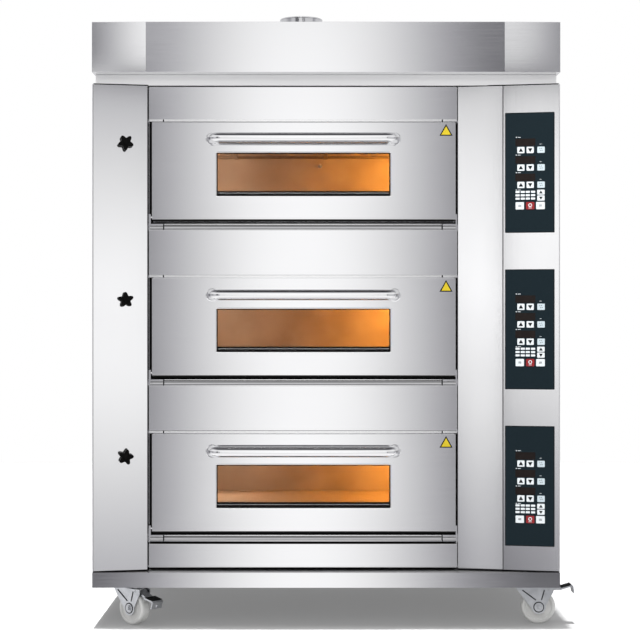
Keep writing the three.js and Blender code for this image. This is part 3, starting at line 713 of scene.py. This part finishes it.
def side_panel(name, side, bevel, louvres=()):
    """Screws up both edges, and louvres; side is -1 for the left and 1 for the right."""
    low, high = limits(name)
    face_x = high.x if side > 0 else low.x

    def fittings(shape):
        edges = (low.y + SCREW_INSET, high.y - SCREW_INSET)
        screw_rows(shape, [face_x], edges, between(low.z + 40, high.z - 40, 6), (side, 0, 0))
        for across, z in louvres:
            louvre(shape, (face_x, across + SIDE_SLOTS["length"], z + 1), (side, 0, 0), SIDE_SLOTS["length"])

    softened(name, satin_upright, "polished_steel", bevel, extra=fittings)


def slots(layout):
    """The lower edge of each slot, as its start across and its height."""
    for across in layout["columns"]:
        for low, rows in layout["rows"]:
            for row in range(rows):
                yield across, low + row * SLOT_PITCH


def back_panel():
    low, high = limits("back_panel")
    face_y, back = high.y, (0, 1, 0)

    def fittings(shape):
        sides = (low.x + SCREW_INSET, high.x - SCREW_INSET)
        screw_rows(shape, sides, [face_y], between(low.z + 40, high.z - 40, 7), back)
        ends = (low.z + SCREW_INSET, high.z - SCREW_INSET)
        screw_rows(shape, between(low.x + 150, high.x - 150, 5), [face_y], ends, back)
        for across, z in slots(BACK_SLOTS):
            louvre(shape, (across, face_y, z + 1), back, BACK_SLOTS["length"])

    softened("back_panel", satin_upright, "satin_steel", 0.8, extra=fittings)
    x, z, width, height = BLANK_PLATE.values()
    plate = Shape()
    outline = rounded_rectangle(width, height, 5)
    plate.prism(outline, 1.1, bevel=0.3, place=upright(x, face_y + 1.2, z))
    rivets = [[middle - size / 2 + 6, middle + size / 2 - 6] for middle, size in ((x, width), (z, height))]
    screw_rows(plate, rivets[0], [face_y + 1.1], rivets[1], back, 2.4)
    plate.piece("rating_plate_blank", "root", plate_alloy, "satin_steel")


def hood():
    low, high = limits("hood")
    hem = low.z + 14

    def fittings(shape):
        for x, side in ((low.x, -1), (high.x, 1)):
            screw_rows(shape, [x], between(low.y + 70, high.y - 40, 4), [hem], (side, 0, 0), 3.6)
        screw_rows(shape, between(low.x + 60, high.x - 60, 6), [high.y], [hem], (0, 1, 0), 3.6)
        top = (between(low.x + 80, high.x - 80, 5), [high.y - 16], [high.z])
        screw_rows(shape, *top, (0, 0, 1), 3.6)

    softened("hood", polished_level, "polished_steel", 1.0, extra=fittings)


def flue_stub():
    low, high = limits("flue_stub")
    centre = Vector(((low.x + high.x) / 2, (low.y + high.y) / 2, low.z))
    flange, height = (high.x - low.x) / 2, high.z - low.z
    bore, pipe = flange - 22, flange - 20
    profile = [
        (bore, 0), (flange, 0), (flange, 2.3), (flange - 0.7, 3), (pipe + 3, 3), (pipe + 0.8, 4.2),
        (pipe, 6.5), (pipe, height - 5), (pipe + 1.3, height - 4.2), (pipe + 1.8, height - 2.4),
        (pipe + 1.2, height - 0.7), (pipe - 0.4, height), (bore + 0.4, height - 0.5), (bore, height - 4),
    ]
    shape = Shape().lathe(profile, centre, sides=96)
    for turn in between(15, 315, 6):
        bolt = Matrix.Rotation(math.radians(turn), 3, "Z") @ Vector((flange - 9, 0, 3))
        hexagon(shape, centre + bolt, (0, 0, 1), 6.5, 4)
    shape.piece("flue_stub.spun", "root", stub_steel, "polished_steel", "flue_stub")
    reach, sides = pipe + 1.2, 360
    ripple = [
        centre + Vector((x, y, 3.6 + 0.35 * math.sin(2 * math.pi * i * 60 / sides)))
        for i, (x, y) in enumerate(round_points(reach, sides))
    ]
    bead = Shape().sweep(ripple, round_points(1.7, 8), closed=True)
    bead.piece("flue_stub_weld", "root", weld_steel, "polished_steel")


def cable_gland():
    x, _, z = middle_of("cable_gland")
    face_y = limits("back_panel")[1].y
    back = (0, 1, 0)
    shape = Shape().lathe(washer(6.4, 12, 16), (x, face_y - 15, z), back)
    hexagon(shape, (x, face_y + 0.3, z), back, 18, 8.7, 1.2)
    dome = [(6.4, 0), (14.2, 0), (14.2, 6), (13.4, 9.5), (10.5, 12.6), (7.4, 13), (6.4, 12)]
    shape.lathe(dome, (x, face_y + 9, z), back)
    for rib_x, rib_z in round_points(14, 24):
        rib = Vector((x + rib_x, face_y + 9, z + rib_z))
        shape.rod(0.8, rib, rib + Vector((0, 6.5, 0)), sides=6)
    shape.piece("cable_gland.moulded", "root", black_plastic, "black_plastic", "cable_gland")
    lip = [(4.6, 0), (6.4, 0), (6.4, 3), (5.4, 3.6), (4.6, 3)]
    seal = Shape().lathe(lip, (x, face_y + 18, z), back)
    seal.piece("cable_gland_seal", "root", dark_rubber_and_gap_shade, "black_plastic")


casing()
top_gap_shade_bead()
side_panel("left_side_panel", -1, 0.8)
side_panel("right_side_panel", 1, 0, slots(SIDE_SLOTS))
back_panel()
hood()
flue_stub()
cable_gland()

# ---- inside a deck ----

CHAMBER_WALL = 18
HEATER_RADIUS = 4.5
HEATER_TURN_X = 305  # where the middle passes turn back, short of the right wall
HANGERS_X = (-280, 0, 230)
DECK_LIGHTS = (("right", 250, 5.2, (1.0, 0.42, 0.06)), ("left", -330, 1.25, (1.0, 0.72, 0.55)))


def heater_path(low, high):
    """Four passes joined by round turns, with both ends out through the right wall."""
    front, back = low.y + HEATER_RADIUS, high.y - HEATER_RADIUS
    left, middle_z = low.x + HEATER_RADIUS, (low.z + high.z) / 2
    pitch = (back - front) / 3
    bend = pitch / 2
    points = [(high.x, front, middle_z)]
    for turn in range(3):
        side = -1 if turn % 2 == 0 else 1
        centre_x = left + bend if side < 0 else HEATER_TURN_X - bend
        centre_y = front + pitch * (turn + 0.5)
        for angle in between(0, math.pi, 13):
            x, y = centre_x + side * bend * math.sin(angle), centre_y - bend * math.cos(angle)
            points.append((x, y, middle_z))
    return points + [(high.x, back, middle_z)]


def heater(level, deck):
    node = f"{level}_heater_{deck}"
    low, high = limits(node)
    shape = Shape().sweep(heater_path(low, high), round_points(HEATER_RADIUS, 14))
    shape.piece(f"{node}.sheathed", "root", heater_sheath, "heater_sheath", node)
    chamber_low, chamber_high = limits(f"chamber_{deck}")
    under = low.z - 0.2
    rest = chamber_high.z - CHAMBER_WALL if level == "upper" else chamber_low.z + CHAMBER_WALL
    foot, head = sorted((under - 1, rest))
    hangers = Shape()
    for x in HANGERS_X:
        hangers.box((x - 6, low.y + 8, under - 2), (x + 6, high.y - 8, under), bevel=0.4)
        for y in between(low.y + 60, high.y - 60, 3):
            hangers.box((x - 5, y - 1, foot), (x + 5, y + 1, head), bevel=0.3)
    hangers.piece(f"{level}_heater_hangers_{deck}", "root", heater_sheath, "chamber_steel")


def chamber_lamp(deck):
    """A glowing lamp behind a round bezel on the right wall, and a probe at the back."""
    high = limits(f"chamber_{deck}")[1]
    centre, inward = Vector((high.x - CHAMBER_WALL, high.y - 250, high.z - 100)), (-1, 0, 0)
    bezel = Shape().lathe([(21, 0), (31, 0), (31, 2), (29, 4), (24, 6), (21, 5)], centre, inward)
    offset = 26.5 * math.sqrt(0.5)
    for y in (-offset, offset):
        for z in (-offset, offset):
            screw(bezel, centre + Vector((-2.4, y, z)), inward, 2.2)
    bezel.piece(f"lamp_bezel_{deck}", "root", chamber_steel, "chamber_steel")
    dome = [(21 * math.cos(a), 3 + 9 * math.sin(a)) for a in quarter(6)]
    lens = Shape().lathe([(0, 0), (21, 0)] + dome[:-1] + [(0, 12)], centre, inward, sides=32)
    lens.piece(f"lamp_lens_{deck}", "root", lamp_glow, "lamp_glow")
    probe = Shape()
    tip = Vector((-17, high.y - CHAMBER_WALL, high.z - 60))
    probe.rod(3, tip, tip - Vector((0, 62, 0)), sides=16, bevel=0.8)
    hexagon(probe, tip, (0, -1, 0), 8, 6)
    probe.piece(f"temperature_probe_{deck}", "root", plate_alloy, "satin_steel")


def deck_lights(deck):
    """The lamp's own light, and a weaker one for the chamber's far end."""
    high = limits(f"chamber_{deck}")[1]
    for name, x, power, colour in DECK_LIGHTS:
        data = bpy.data.lights.new(f"chamber_{name}_{deck}", "POINT")
        data.energy = power
        data.color = colour
        data.shadow_soft_size = 0.03
        made = added(data.name, data)
        made.location = TO_ROW @ Vector((x, high.y - 230, high.z - 75))
        made.visible_camera = made.visible_glossy = made.visible_transmission = False


def deck_inside(deck):
    softened(f"chamber_{deck}", chamber_steel, "chamber_steel", 0.8)
    softened(f"hearth_{deck}", hearth_stone, "hearth_stone", 1.5)
    heater("upper", deck)
    heater("lower", deck)
    chamber_lamp(deck)
    deck_lights(deck)


# ---- a door ----

GLASS_LAP = 8  # the pane reaches this far behind the window's edge
HANDLE_RADIUS = 15
HANDLE_BEND = 24
LABEL = {"from_right": 26.8, "above_handle": 9.2, "width": 37, "height": 33}
ROPE = {"sides": 28, "ends": 26}  # the rope seal's place, from the liner's edges
DOOR_LAP = 3  # the outer skin reaches this far past the liner
RAIL_JOINTS = (-456, 326)  # where a sill rail's end blocks meet its middle part
SEAL_DEPTH = 12


def window_of(deck, out=0):
    """The window's left, right, low and high edge, moved outwards by out."""
    low, high = limits(f"door_glass_{deck}")
    lap = GLASS_LAP - out
    return low.x + lap, high.x - lap, low.z + lap, high.z - lap


def loop(left, right, low, high, radius, y):
    """A rectangle with rounded corners in the door's plane, as a closed path."""
    outline = rounded_rectangle(right - left, high - low, radius, 5)
    return [((left + right) / 2 + u, y, (low + high) / 2 + v) for u, v in outline]


def door_window(deck, body):
    left, right, low, high = window_of(deck)
    face_y = limits(f"door_shell_{deck}")[0].y
    glass_low, glass_high = limits(f"door_glass_{deck}")
    liner_back = limits(f"door_liner_{deck}")[1].y
    trim = Shape().sweep(loop(*window_of(deck, 1), 3, face_y), round_points(1.5, 10), closed=True)
    trim.piece(f"window_trim_{deck}", body, trim_steel, "polished_steel")
    outline = [(-0.9, -1.6), (0.9, -1.6), (0.9, 1.4), (-0.9, 1.4)]
    path = loop(*window_of(deck, -1.4), 2, glass_low.y - 1.2)
    gasket = Shape().sweep(path, outline, closed=True)
    gasket.piece(f"window_gasket_{deck}", body, dark_rubber_and_gap_shade, "seal_fibre")
    pane = ((left + 1, liner_back - 17, low + 1), (right - 1, liner_back - 13.5, high - 1))
    Shape().box(*pane, bevel=0.4).piece(f"inner_pane_{deck}", body, window_glass, "window_glass")
    bar_y = glass_high.y + 1.5
    bar = Shape().box((left + 0.6, bar_y, low + 0.5), (right - 0.6, bar_y + 9, low + 15), bevel=0.8)
    bar.piece(f"pane_spacer_{deck}", body, dark_rubber_and_gap_shade, "seal_fibre")
    ends = [(x, bar_y - 0.3, low + 9) for x in (left + 0.8, right - 0.8)]
    Shape().rod(1.0, *ends, sides=12).piece(f"pane_bead_{deck}", body, rail_steel, "polished_steel")


def door_handle(deck, body):
    """A tube with round bends and a collar at each foot."""
    node = f"door_handle_{deck}"
    low, high = limits(node)
    r, bend, face_y = HANDLE_RADIUS, HANDLE_BEND, high.y
    left, right, front, z = low.x + r, high.x - r, low.y + r, (low.z + high.z) / 2
    path = [(left, face_y, z)]
    for x, side in ((left, 1), (right, -1)):
        for a in quarter(14)[::side]:
            path.append((x + side * bend * (1 - math.cos(a)), front + bend * (1 - math.sin(a)), z))
    shape = Shape().sweep(path + [(right, face_y, z)], round_points(r, 40))
    collar = [(12, 0), (18, 0), (18, 1.2), (16.6, 2.4), (12, 2.4)]
    for x in (left, right):
        shape.lathe(collar, (x, face_y, z), (0, -1, 0), sides=40)
    shape.piece(f"{node}.tube", body, tube_steel, "polished_steel", node)


def door_label(deck, body):
    """A plain yellow triangle with a dark border; it carries no symbol."""
    x = limits(f"door_liner_{deck}")[1].x + DOOR_LAP - LABEL["from_right"]
    y = limits(f"door_shell_{deck}")[0].y
    z = middle_of(f"door_handle_{deck}").z + LABEL["above_handle"]
    half, height = LABEL["width"] / 2, LABEL["height"]
    for name, inset, thick, finish, slot in (
        ("border", 0.0, 0.4, key_mark, "black_plastic"), ("face", 3.0, 0.55, label_yellow, "label_yellow"),
    ):
        foot = half - inset * 1.75
        outline = [(-foot, inset), (foot, inset), (0, height - inset * 2.05)]
        shape = Shape().prism(outline, thick, bevel=0.15, place=upright(x, y, z))
        shape.piece(f"label_{name}_{deck}", body, finish, slot)


def door_inside(deck, body):
    """The rope seal and the screws that hold the liner."""
    low, high = limits(f"door_liner_{deck}")
    path = loop(
        low.x + ROPE["sides"], high.x - ROPE["sides"], low.z + ROPE["ends"], high.z - ROPE["ends"],
        14, high.y + 0.4,
    )
    section = [(2.4 * v, 6.5 * u) for u, v in round_points(1, 12)]
    rope = Shape().sweep(path, section, closed=True)
    rope.piece(f"door_seal_{deck}", body, seal_rope, "seal_fibre")
    screws = Shape()
    for xs, zs in (
        (between(low.x + 30, high.x - 30, 6), (low.z + 7, high.z - 7)),
        ((low.x + 8, high.x - 8), (low.z + 60, high.z - 60)),
    ):
        screw_rows(screws, xs, [high.y - 4.2], zs, (0, 1, 0), 4)
    screws.piece(f"liner_screws_{deck}", body, plate_alloy, "satin_steel")


def strips(shape, spans, depth, height, bevel=0.3, finish=0):
    """Bars side by side, one for each span across, at one depth and height."""
    for left, right in spans:
        shape.box((left, depth[0], height[0]), (right, depth[1], height[1]), bevel=bevel, finish=finish)


def door_surround(deck, body):
    """Black strips of painted shade in the gaps round the door and along its hem, the sill rail's lining
    with a painted highlight along its top, dark joints and a painted groove line, and the strip overhead.
    """
    door_face, top = limits(f"door_shell_{deck}")[0].y, limits(f"door_shell_{deck}")[1].z
    liner_low, liner_high = limits(f"door_liner_{deck}")
    left, right, bottom = liner_low.x - DOOR_LAP, liner_high.x + DOOR_LAP, liner_low.z - DOOR_LAP
    recess_low, recess_high = limits("fascia_top")
    far_left, far_right, rail_face = recess_low.x, recess_high.x, recess_low.y
    rail_low, rail_top = bottom - 28.5, bottom - 12

    def parts(end, gap):
        """The three parts of a rail, short of the recess's ends and of the rail's two joints."""
        first, second = RAIL_JOINTS
        return [(far_left + end, first - gap), (first + gap, second - gap), (second + gap, far_right - end)]

    def joints(half):
        return [(x - half, x + half) for x in RAIL_JOINTS]

    # painted shade: black strips in the gaps beside the door and below it, and under the lowest rail
    gap_shade_strips = Shape()
    frame_face = limits("front_frame")[1].y - 5
    depth = (frame_face - SEAL_DEPTH, frame_face - 0.2)
    across = [(far_left + 1, far_right - 1)]
    sides = [(far_left + 0.3, left - 0.7), (right + 0.5, far_right + 1)]
    strips(gap_shade_strips, sides, depth, (bottom - 11, top + 2))
    strips(gap_shade_strips, across, depth, (rail_top + 0.2, bottom - 6.2))
    if deck == DECKS[-1]:
        strips(gap_shade_strips, across, depth, (limits("fascia_bottom")[1].z + 0.3, rail_low - 1.6))
    gap_shade_strips.piece(f"recess_gap_shade_{deck}", "root", dark_rubber_and_gap_shade, "seal_fibre")

    # painted shade: a black strip along the door's lower hem
    hem = Shape()
    hem_depth, hem_height = (door_face + 4.2, door_face + 5.9), (bottom - 5.3, bottom - 0.4)
    strips(hem, [(left + 2.5, right - 2.5)], hem_depth, hem_height, 0.4)
    hem.piece(f"door_hem_shade_{deck}", body, dark_rubber_and_gap_shade, "seal_fibre")

    lining = Shape()
    strips(lining, parts(4, 2), (rail_face - 0.7, rail_face + 0.2), (rail_low + 0.8, rail_top - 4.4))
    strips(lining, parts(4, 2), (rail_face - 0.9, rail_face), (rail_low + 4, rail_low + 7.2), 0.4, 1)
    ends = (far_left + 24, far_right - 22)
    screw_rows(lining, ends, [rail_face - 0.7], [rail_low + 10], (0, -1, 0), 2.6)
    # a band of brighter trim steel along the rail's top edge: a painted highlight
    bright = parts(4, 2)[1:2]
    strips(lining, bright, (rail_face - 0.5, rail_face + 0.2), (rail_top - 2.0, rail_top - 0.3), 0.3, 2)
    lining.piece(f"sill_lining_{deck}", "root", (rail_steel, satin_level, trim_steel), "satin_steel")

    # dark strips in the rail's and the head strip's joints, and a dark line under the rail's top edge that
    # is painted shade for a groove
    joints_and_groove_shade = Shape()
    overhead, under_edge = (top + 3.0, top + 8.2), (rail_top - 4.2, rail_top - 2.2)
    strips(joints_and_groove_shade, parts(0, 1)[1:2], (rail_face - 0.3, rail_face + 0.3), under_edge, 0.2)
    strips(joints_and_groove_shade, joints(1.6), (rail_face - 0.5, rail_face + 0.2), (rail_low + 0.6, rail_top - 1), 0.2)
    strips(joints_and_groove_shade, joints(1.4), (door_face + 4.7, door_face + 6.6), overhead, 0.2)
    joints_and_groove_shade.piece(f"sill_joints_and_groove_shade_{deck}", "root", dark_rubber_and_gap_shade, "seal_fibre")
    head = Shape()
    strips(head, parts(2, 1.6), (door_face + 5.0, door_face + 6.6), overhead, 0.4)
    head.piece(f"head_strip_{deck}", "root", trim_steel, "polished_steel")


def door(deck):
    body = f"door_{deck}"
    softened(f"door_shell_{deck}", polished_level, "polished_steel", SHEET_BEVEL, body)
    softened(f"door_liner_{deck}", satin_level, "satin_steel", 0.8, body)
    softened(f"door_glass_{deck}", window_glass, "window_glass", 0.5, body)
    door_window(deck, body)
    door_handle(deck, body)
    door_label(deck, body)
    door_inside(deck, body)
    door_surround(deck, body)


# ---- damper knobs ----

KNOB_TURNS = {1: -3, 2: 40, 3: 23}  # how each star is set on its shaft, in degrees


def star(radius, turn, steps=80):
    """A five-lobed outline."""
    points = []
    for angle in (2 * math.pi * step / steps for step in range(steps)):
        reach = radius * (0.8 + 0.2 * math.cos(5 * angle))
        around = angle + math.radians(turn - 90)
        points.append((reach * math.cos(around), reach * math.sin(around)))
    return points


def damper(deck):
    body, node = f"damper_{deck}", f"damper_knob_{deck}"
    turn = joint(f"damper_{deck}_turn")
    place, front = facing(turn["pos_m"], turn["axis"]), (0, -1, 0)
    shape = Shape(place)
    shape.prism(star(22, KNOB_TURNS[deck]), 18, bevel=3.2, place=upright(0, -8, 0))
    shape.lathe([(4.6, 0), (11, 0), (11, 4), (9.5, 8.5), (4.6, 8.5)], (0, -0.6, 0), front)
    shape.lathe([(0, 0), (7.5, 0), (7, 0.9), (5, 1.5), (0, 1.7)], (0, -26, 0), front, sides=32)
    shape.piece(f"{node}.moulded", body, black_plastic, "black_plastic", node)

    def clamps(shape):
        screw_rows(shape, [2.2], (104, 136), [0], (1, 0, 0), 3.4)

    softened(f"damper_valve_{deck}", zinc, "zinc", 0.3, body, clamps, place)


# ---- control panels ----

PANEL_X = 568
PANEL = {"width": 137, "height": 335, "thick": 4, "gap": 0.3}
RAISED, PRINTED = 0.9, 0.25  # how far keys stand up, and marks on them
NUMBER_COLUMNS, NUMBER_ROWS = (34.9, 49.3, 63.2, 77.9), (221.5, 230.9, 240.2)

# Plates by place from the panel's left and top edges, size, corner radius and thickness.
DISPLAYS = [(56.5, top, (55.4, 20.5), 1, 0.5) for top in (83.25, 132.25, 181.25)]
ARROW_ROWS = (104.8, 153.8, 202)
ARROWS = [(44.2, 1), (69.9, -1)]  # place across, and up or down
LIGHT_ARROWS = [(99.5, 222.8, 1), (99.5, 239.1, -1)]
WHITE_KEYS = [
    *((left, top, (20.0, 17.6)) for top in ARROW_ROWS for left, way in ARROWS),
    *((left, top, (11.5, 5.7), 1.2) for left in NUMBER_COLUMNS for top in NUMBER_ROWS),
    *((left, top, (20.6, 14.0 if way > 0 else 14.4)) for left, top, way in LIGHT_ARROWS),
    (41.1, 260.1, (23.2, 20.4)), (98.3, 260.1, (24.2, 20.4)),
]
# Printed dashes and dots stand where the panel has lettering. They also give a depth and a bevel.
DASH_ROWS = (69, 118.5, 167.5, 216)
DASHES = [
    *((31.5, top, (3.2, 2.2), 0.8, 0.4, 0, 0) for top in DASH_ROWS),
    *((39.5, top, (8.4, 1.3), 0.4, 0.4, 0, 0) for top in DASH_ROWS),
    *((98.5, top, (6, 0.9), 0.4, 0.4, 0, 0) for top in (89, 138, 187)),
]
KEY_MARKS = [
    *((left, top + drop, (2.4, 1.5), 0.4, PRINTED, -RAISED, 0) for top in ARROW_ROWS
      for left, drop in ((96.4, -3), (101.2, -3.6), (98.6, 2.4), (103, 1.6))),
    *((left, top, (8, 1.3), 0.4, PRINTED, -RAISED, 0) for left in (41.1, 98.3) for top in (258.5, 261.5)),
]
STOP_X, STOP_Z = 69.9, 260.1  # the stop key, from the left and the top


def panel_place(z):
    low, high = limits("right_column")
    slope = (COLUMN_INSET - low.y) / (low.x - high.x)
    y = low.y + (PANEL_X - high.x) * slope
    return Matrix.Translation((PANEL_X, y, z)) @ Matrix.Rotation(math.atan(slope), 4, "Z")


def control_panel(deck):
    node = f"control_panel_{deck}"
    place = panel_place(middle_of(node).z)
    width, height, thick, gap = PANEL.values()
    face = -gap - thick

    def spot(left, top, depth=0.0):
        return -width / 2 + left, face + depth, height / 2 - top

    def layer(name, finish, slot, plates, replaces=None, extra=None):
        """A piece of the panel, made of plates as they are listed above."""
        shape = Shape(place)
        if extra:
            extra(shape)
        for left, top, size, *rest in plates:
            radius, rise, depth, bevel = (*rest, *(2, RAISED, 0, 0.2)[len(rest):])
            outline = rounded_rectangle(*size, radius)
            shape.prism(outline, rise, bevel=bevel, place=upright(*spot(left, top, depth)))
        shape.piece(f"control_panel_{name}_{deck}", "root", finish, slot, replaces)

    def housing(shape):
        shape.box((-43, -1, -83), (43, 30, 83), bevel=2)
        for x in (-34, 34):
            for z in (-74, 74):
                shape.rod(4, (x, 29, z), (x, 33, z), bevel=0.8)

    def arrows(shape):
        large = [(left, top, way, 6.2) for top in ARROW_ROWS for left, way in ARROWS]
        for left, top, way, half in large + [(*key, 5) for key in LIGHT_ARROWS]:
            outline = [(-half, -way * half * 0.75), (half, -way * half * 0.75), (0, way * half)]
            shape.prism(outline[::way], PRINTED, place=upright(*spot(left, top, -RAISED)))

    def ring(shape):
        shape.lathe(washer(3.1, 5.2, 0.3), spot(STOP_X, STOP_Z - 1.5, -RAISED), (0, -1, 0), sides=32)

    middle = (width / 2, height / 2)
    frame_plate = (*middle, (width, height), 2, thick, thick, 0.8)
    layer("frame", panel_edge, "panel_film", [frame_plate], node, housing)
    layer("film", panel_film, "panel_film", [(*middle, (width - 5, height - 5), 2, 0.3, 0, 0.1)])
    layer("displays", display_window, "panel_film", DISPLAYS)
    layer("keys", white_key, "key_white", WHITE_KEYS + DASHES)
    layer("pale_keys", pale_key, "key_white", [(99.9, top, (20.6, 17.6)) for top in ARROW_ROWS])
    layer("stop_key", red_key, "key_red", [(STOP_X, STOP_Z, (23.2, 20.4))])
    layer("marks", key_mark, "black_plastic", KEY_MARKS, extra=arrows)
    stop_mark = (STOP_X, STOP_Z + 6.4, (9, 1.4), 0.5, PRINTED, -RAISED, 0)
    layer("ring", white_key, "key_white", [stop_mark], extra=ring)


# ---- castors ----

WHEEL_RADIUS = 48
TRAIL = 34
PAD_SLOPE = 0.281
CORNERS = ("front_left", "front_right", "rear_left", "rear_right")


def castor_frame(corner):
    """Local frame on the floor under the kingpin: x towards the wheel, y along its axle."""
    swivel = joint(f"castor_{corner}_swivel")
    spin = joint(f"wheel_{corner}_spin")
    return facing((*swivel["pos_m"][:2], 0), spin["axis"])


def castor_fork(corner):
    """The fork with its swivel race, kingpin nut, pressed creases drawn as dark lines of painted shade, and
    axle ends.
    """
    race = [
        (10, 0), (25, 0), (26.5, 1.4), (26.5, 3), (24, 4), (23, 4.4), (23, 5.6), (24.5, 6),
        (27, 6.6), (27, 8.2), (25, 9.4), (10, 9.4),
    ]
    boss = [(6, 0), (12.5, 0), (12.5, 1.2), (12, 1.6), (6, 1.6)]
    axle_end = [(0, 0), (5, 0), (5, 2.6), (3.8, 3.6), (0, 3.6)]

    def fittings(shape):
        shape.lathe(race, (0, 0, 103.5), sides=64)
        hexagon(shape, (0, 0, 92.5), (0, 0, 1), 9.5, 7)
        for side in (-1, 1):
            cheek, out = side * 21, (0, side, 0)
            # each crease is a thin rod in near-black zinc: painted shade along the fork's folds
            for start, end in (((-12, 96), (26, 68)), ((50, 96), (42, 68))):
                xs, zs = between(start[0], end[0], 3), between(start[1], end[1], 3)
                crease = [(x, cheek, z) for x, z in zip(xs, zs)]
                shape.sweep(crease, round_points(1.8, 8), finish=1)
            shape.lathe(boss, (TRAIL, cheek, WHEEL_RADIUS), out)
            shape.lathe(washer(12.3, 15.4, 0.9), (TRAIL, cheek, WHEEL_RADIUS), out, finish=1)
            shape.lathe(axle_end, (TRAIL, side * 25, WHEEL_RADIUS), out, sides=24)

    node, body = f"castor_fork_{corner}", f"castor_{corner}"
    softened(node, (zinc, dark_zinc_and_crease_shade), "zinc", 0.9, body, fittings, castor_frame(corner))


def castor_wheel(corner):
    node, body, place = f"castor_wheel_{corner}", f"wheel_{corner}", castor_frame(corner)
    half = [
        (12, 17), (13.5, 16.2), (14.5, 14.2), (19, 13.4), (21, 12), (34, 11.4), (37, 12.6), (39, 14.8),
        (42.5, 15.5), (45.2, 14.9), (47, 13), (WHEEL_RADIUS, 9.5), (WHEEL_RADIUS, 1.2),
    ]
    tread = [(r, -w) for r, w in half] + [(WHEEL_RADIUS - 0.25, 0)] + half[::-1]
    profile = [(6.5, -16.4), (11, -16.4)] + tread + [(11, 16.4), (6.5, 16.4)]
    shape = Shape(place).lathe(profile, (TRAIL, 0, WHEEL_RADIUS), (0, 1, 0), sides=96)
    shape.piece(f"{node}.nylon", body, white_nylon, "wheel_nylon", node)
    disc = [(6.6, 0), (11.4, 0), (11.4, 0.7), (9, 1.1), (6.6, 0.9)]
    shield = Shape(place)
    for side in (-1, 1):
        shield.lathe(disc, (TRAIL, side * 16.3, WHEEL_RADIUS), (0, side, 0))
    shield.piece(f"bearing_shields_{corner}", body, dark_zinc_and_crease_shade, "zinc")


def brake_pedal(corner):
    """The pedal with its stop screw, a ribbed grip on its slanted pad, and its spring."""
    body, press = f"pedal_{corner}", joint(f"brake_{corner}_press")
    pressed = Matrix.Rotation(math.radians(-press["range_deg"][0]), 4, "Y")
    place = facing(press["pos_m"], press["axis"]) @ pressed

    def stop(shape):
        screw(shape, (72.6, 0, -3), (1, 0, 0.2), 5)

    def pad(x):
        return 3.0 + (x - 36) * PAD_SLOPE

    softened(f"brake_pedal_{corner}", zinc, "zinc", 0.7, body, stop, place)
    grip = Shape(place)
    near, far, thick, half = 38, 67, 1.6, 19
    outline = [(near, pad(near)), (far, pad(far)), (far, pad(far) + thick), (near, pad(near) + thick)]
    grip.prism(outline, 2 * half, bevel=0.4, place=upright(0, half, 0))
    for x in between(41, 64, 6):
        z = pad(x) + thick
        grip.rod(1.2, (x, 0.5 - half, z), (x, half - 0.5, z), sides=10)
    grip.piece(f"brake_grip_{corner}", body, dark_rubber_and_gap_shade, "black_plastic")
    steps = 5 * 16
    coil = [
        (6.2 * math.cos(a), y, 6.2 * math.sin(a))
        for a, y in zip(between(0, 10 * math.pi, steps + 1), between(-9, 9, steps + 1))
    ]
    spring = Shape(place).sweep(coil, round_points(0.9, 6))
    spring.piece(f"brake_spring_{corner}", body, tube_steel, "zinc")


def castor_bolts():
    low = limits("base_frame")[0]
    shape = Shape()
    for corner in CORNERS:
        foot = castor_frame(corner).translation
        for dx in (-40, 40):
            for dy in (-32, 32):
                hexagon(shape, (foot.x + dx, foot.y + dy, low.z), (0, 0, -1), 7.5, 5.3)
    shape.piece("castor_plate_bolts", "root", zinc, "zinc")


for deck in DECKS:
    deck_inside(deck)
    door(deck)
    damper(deck)
    control_panel(deck)
for corner in CORNERS:
    castor_fork(corner)
    castor_wheel(corner)
for corner in CORNERS[:2]:
    brake_pedal(corner)
castor_bolts()
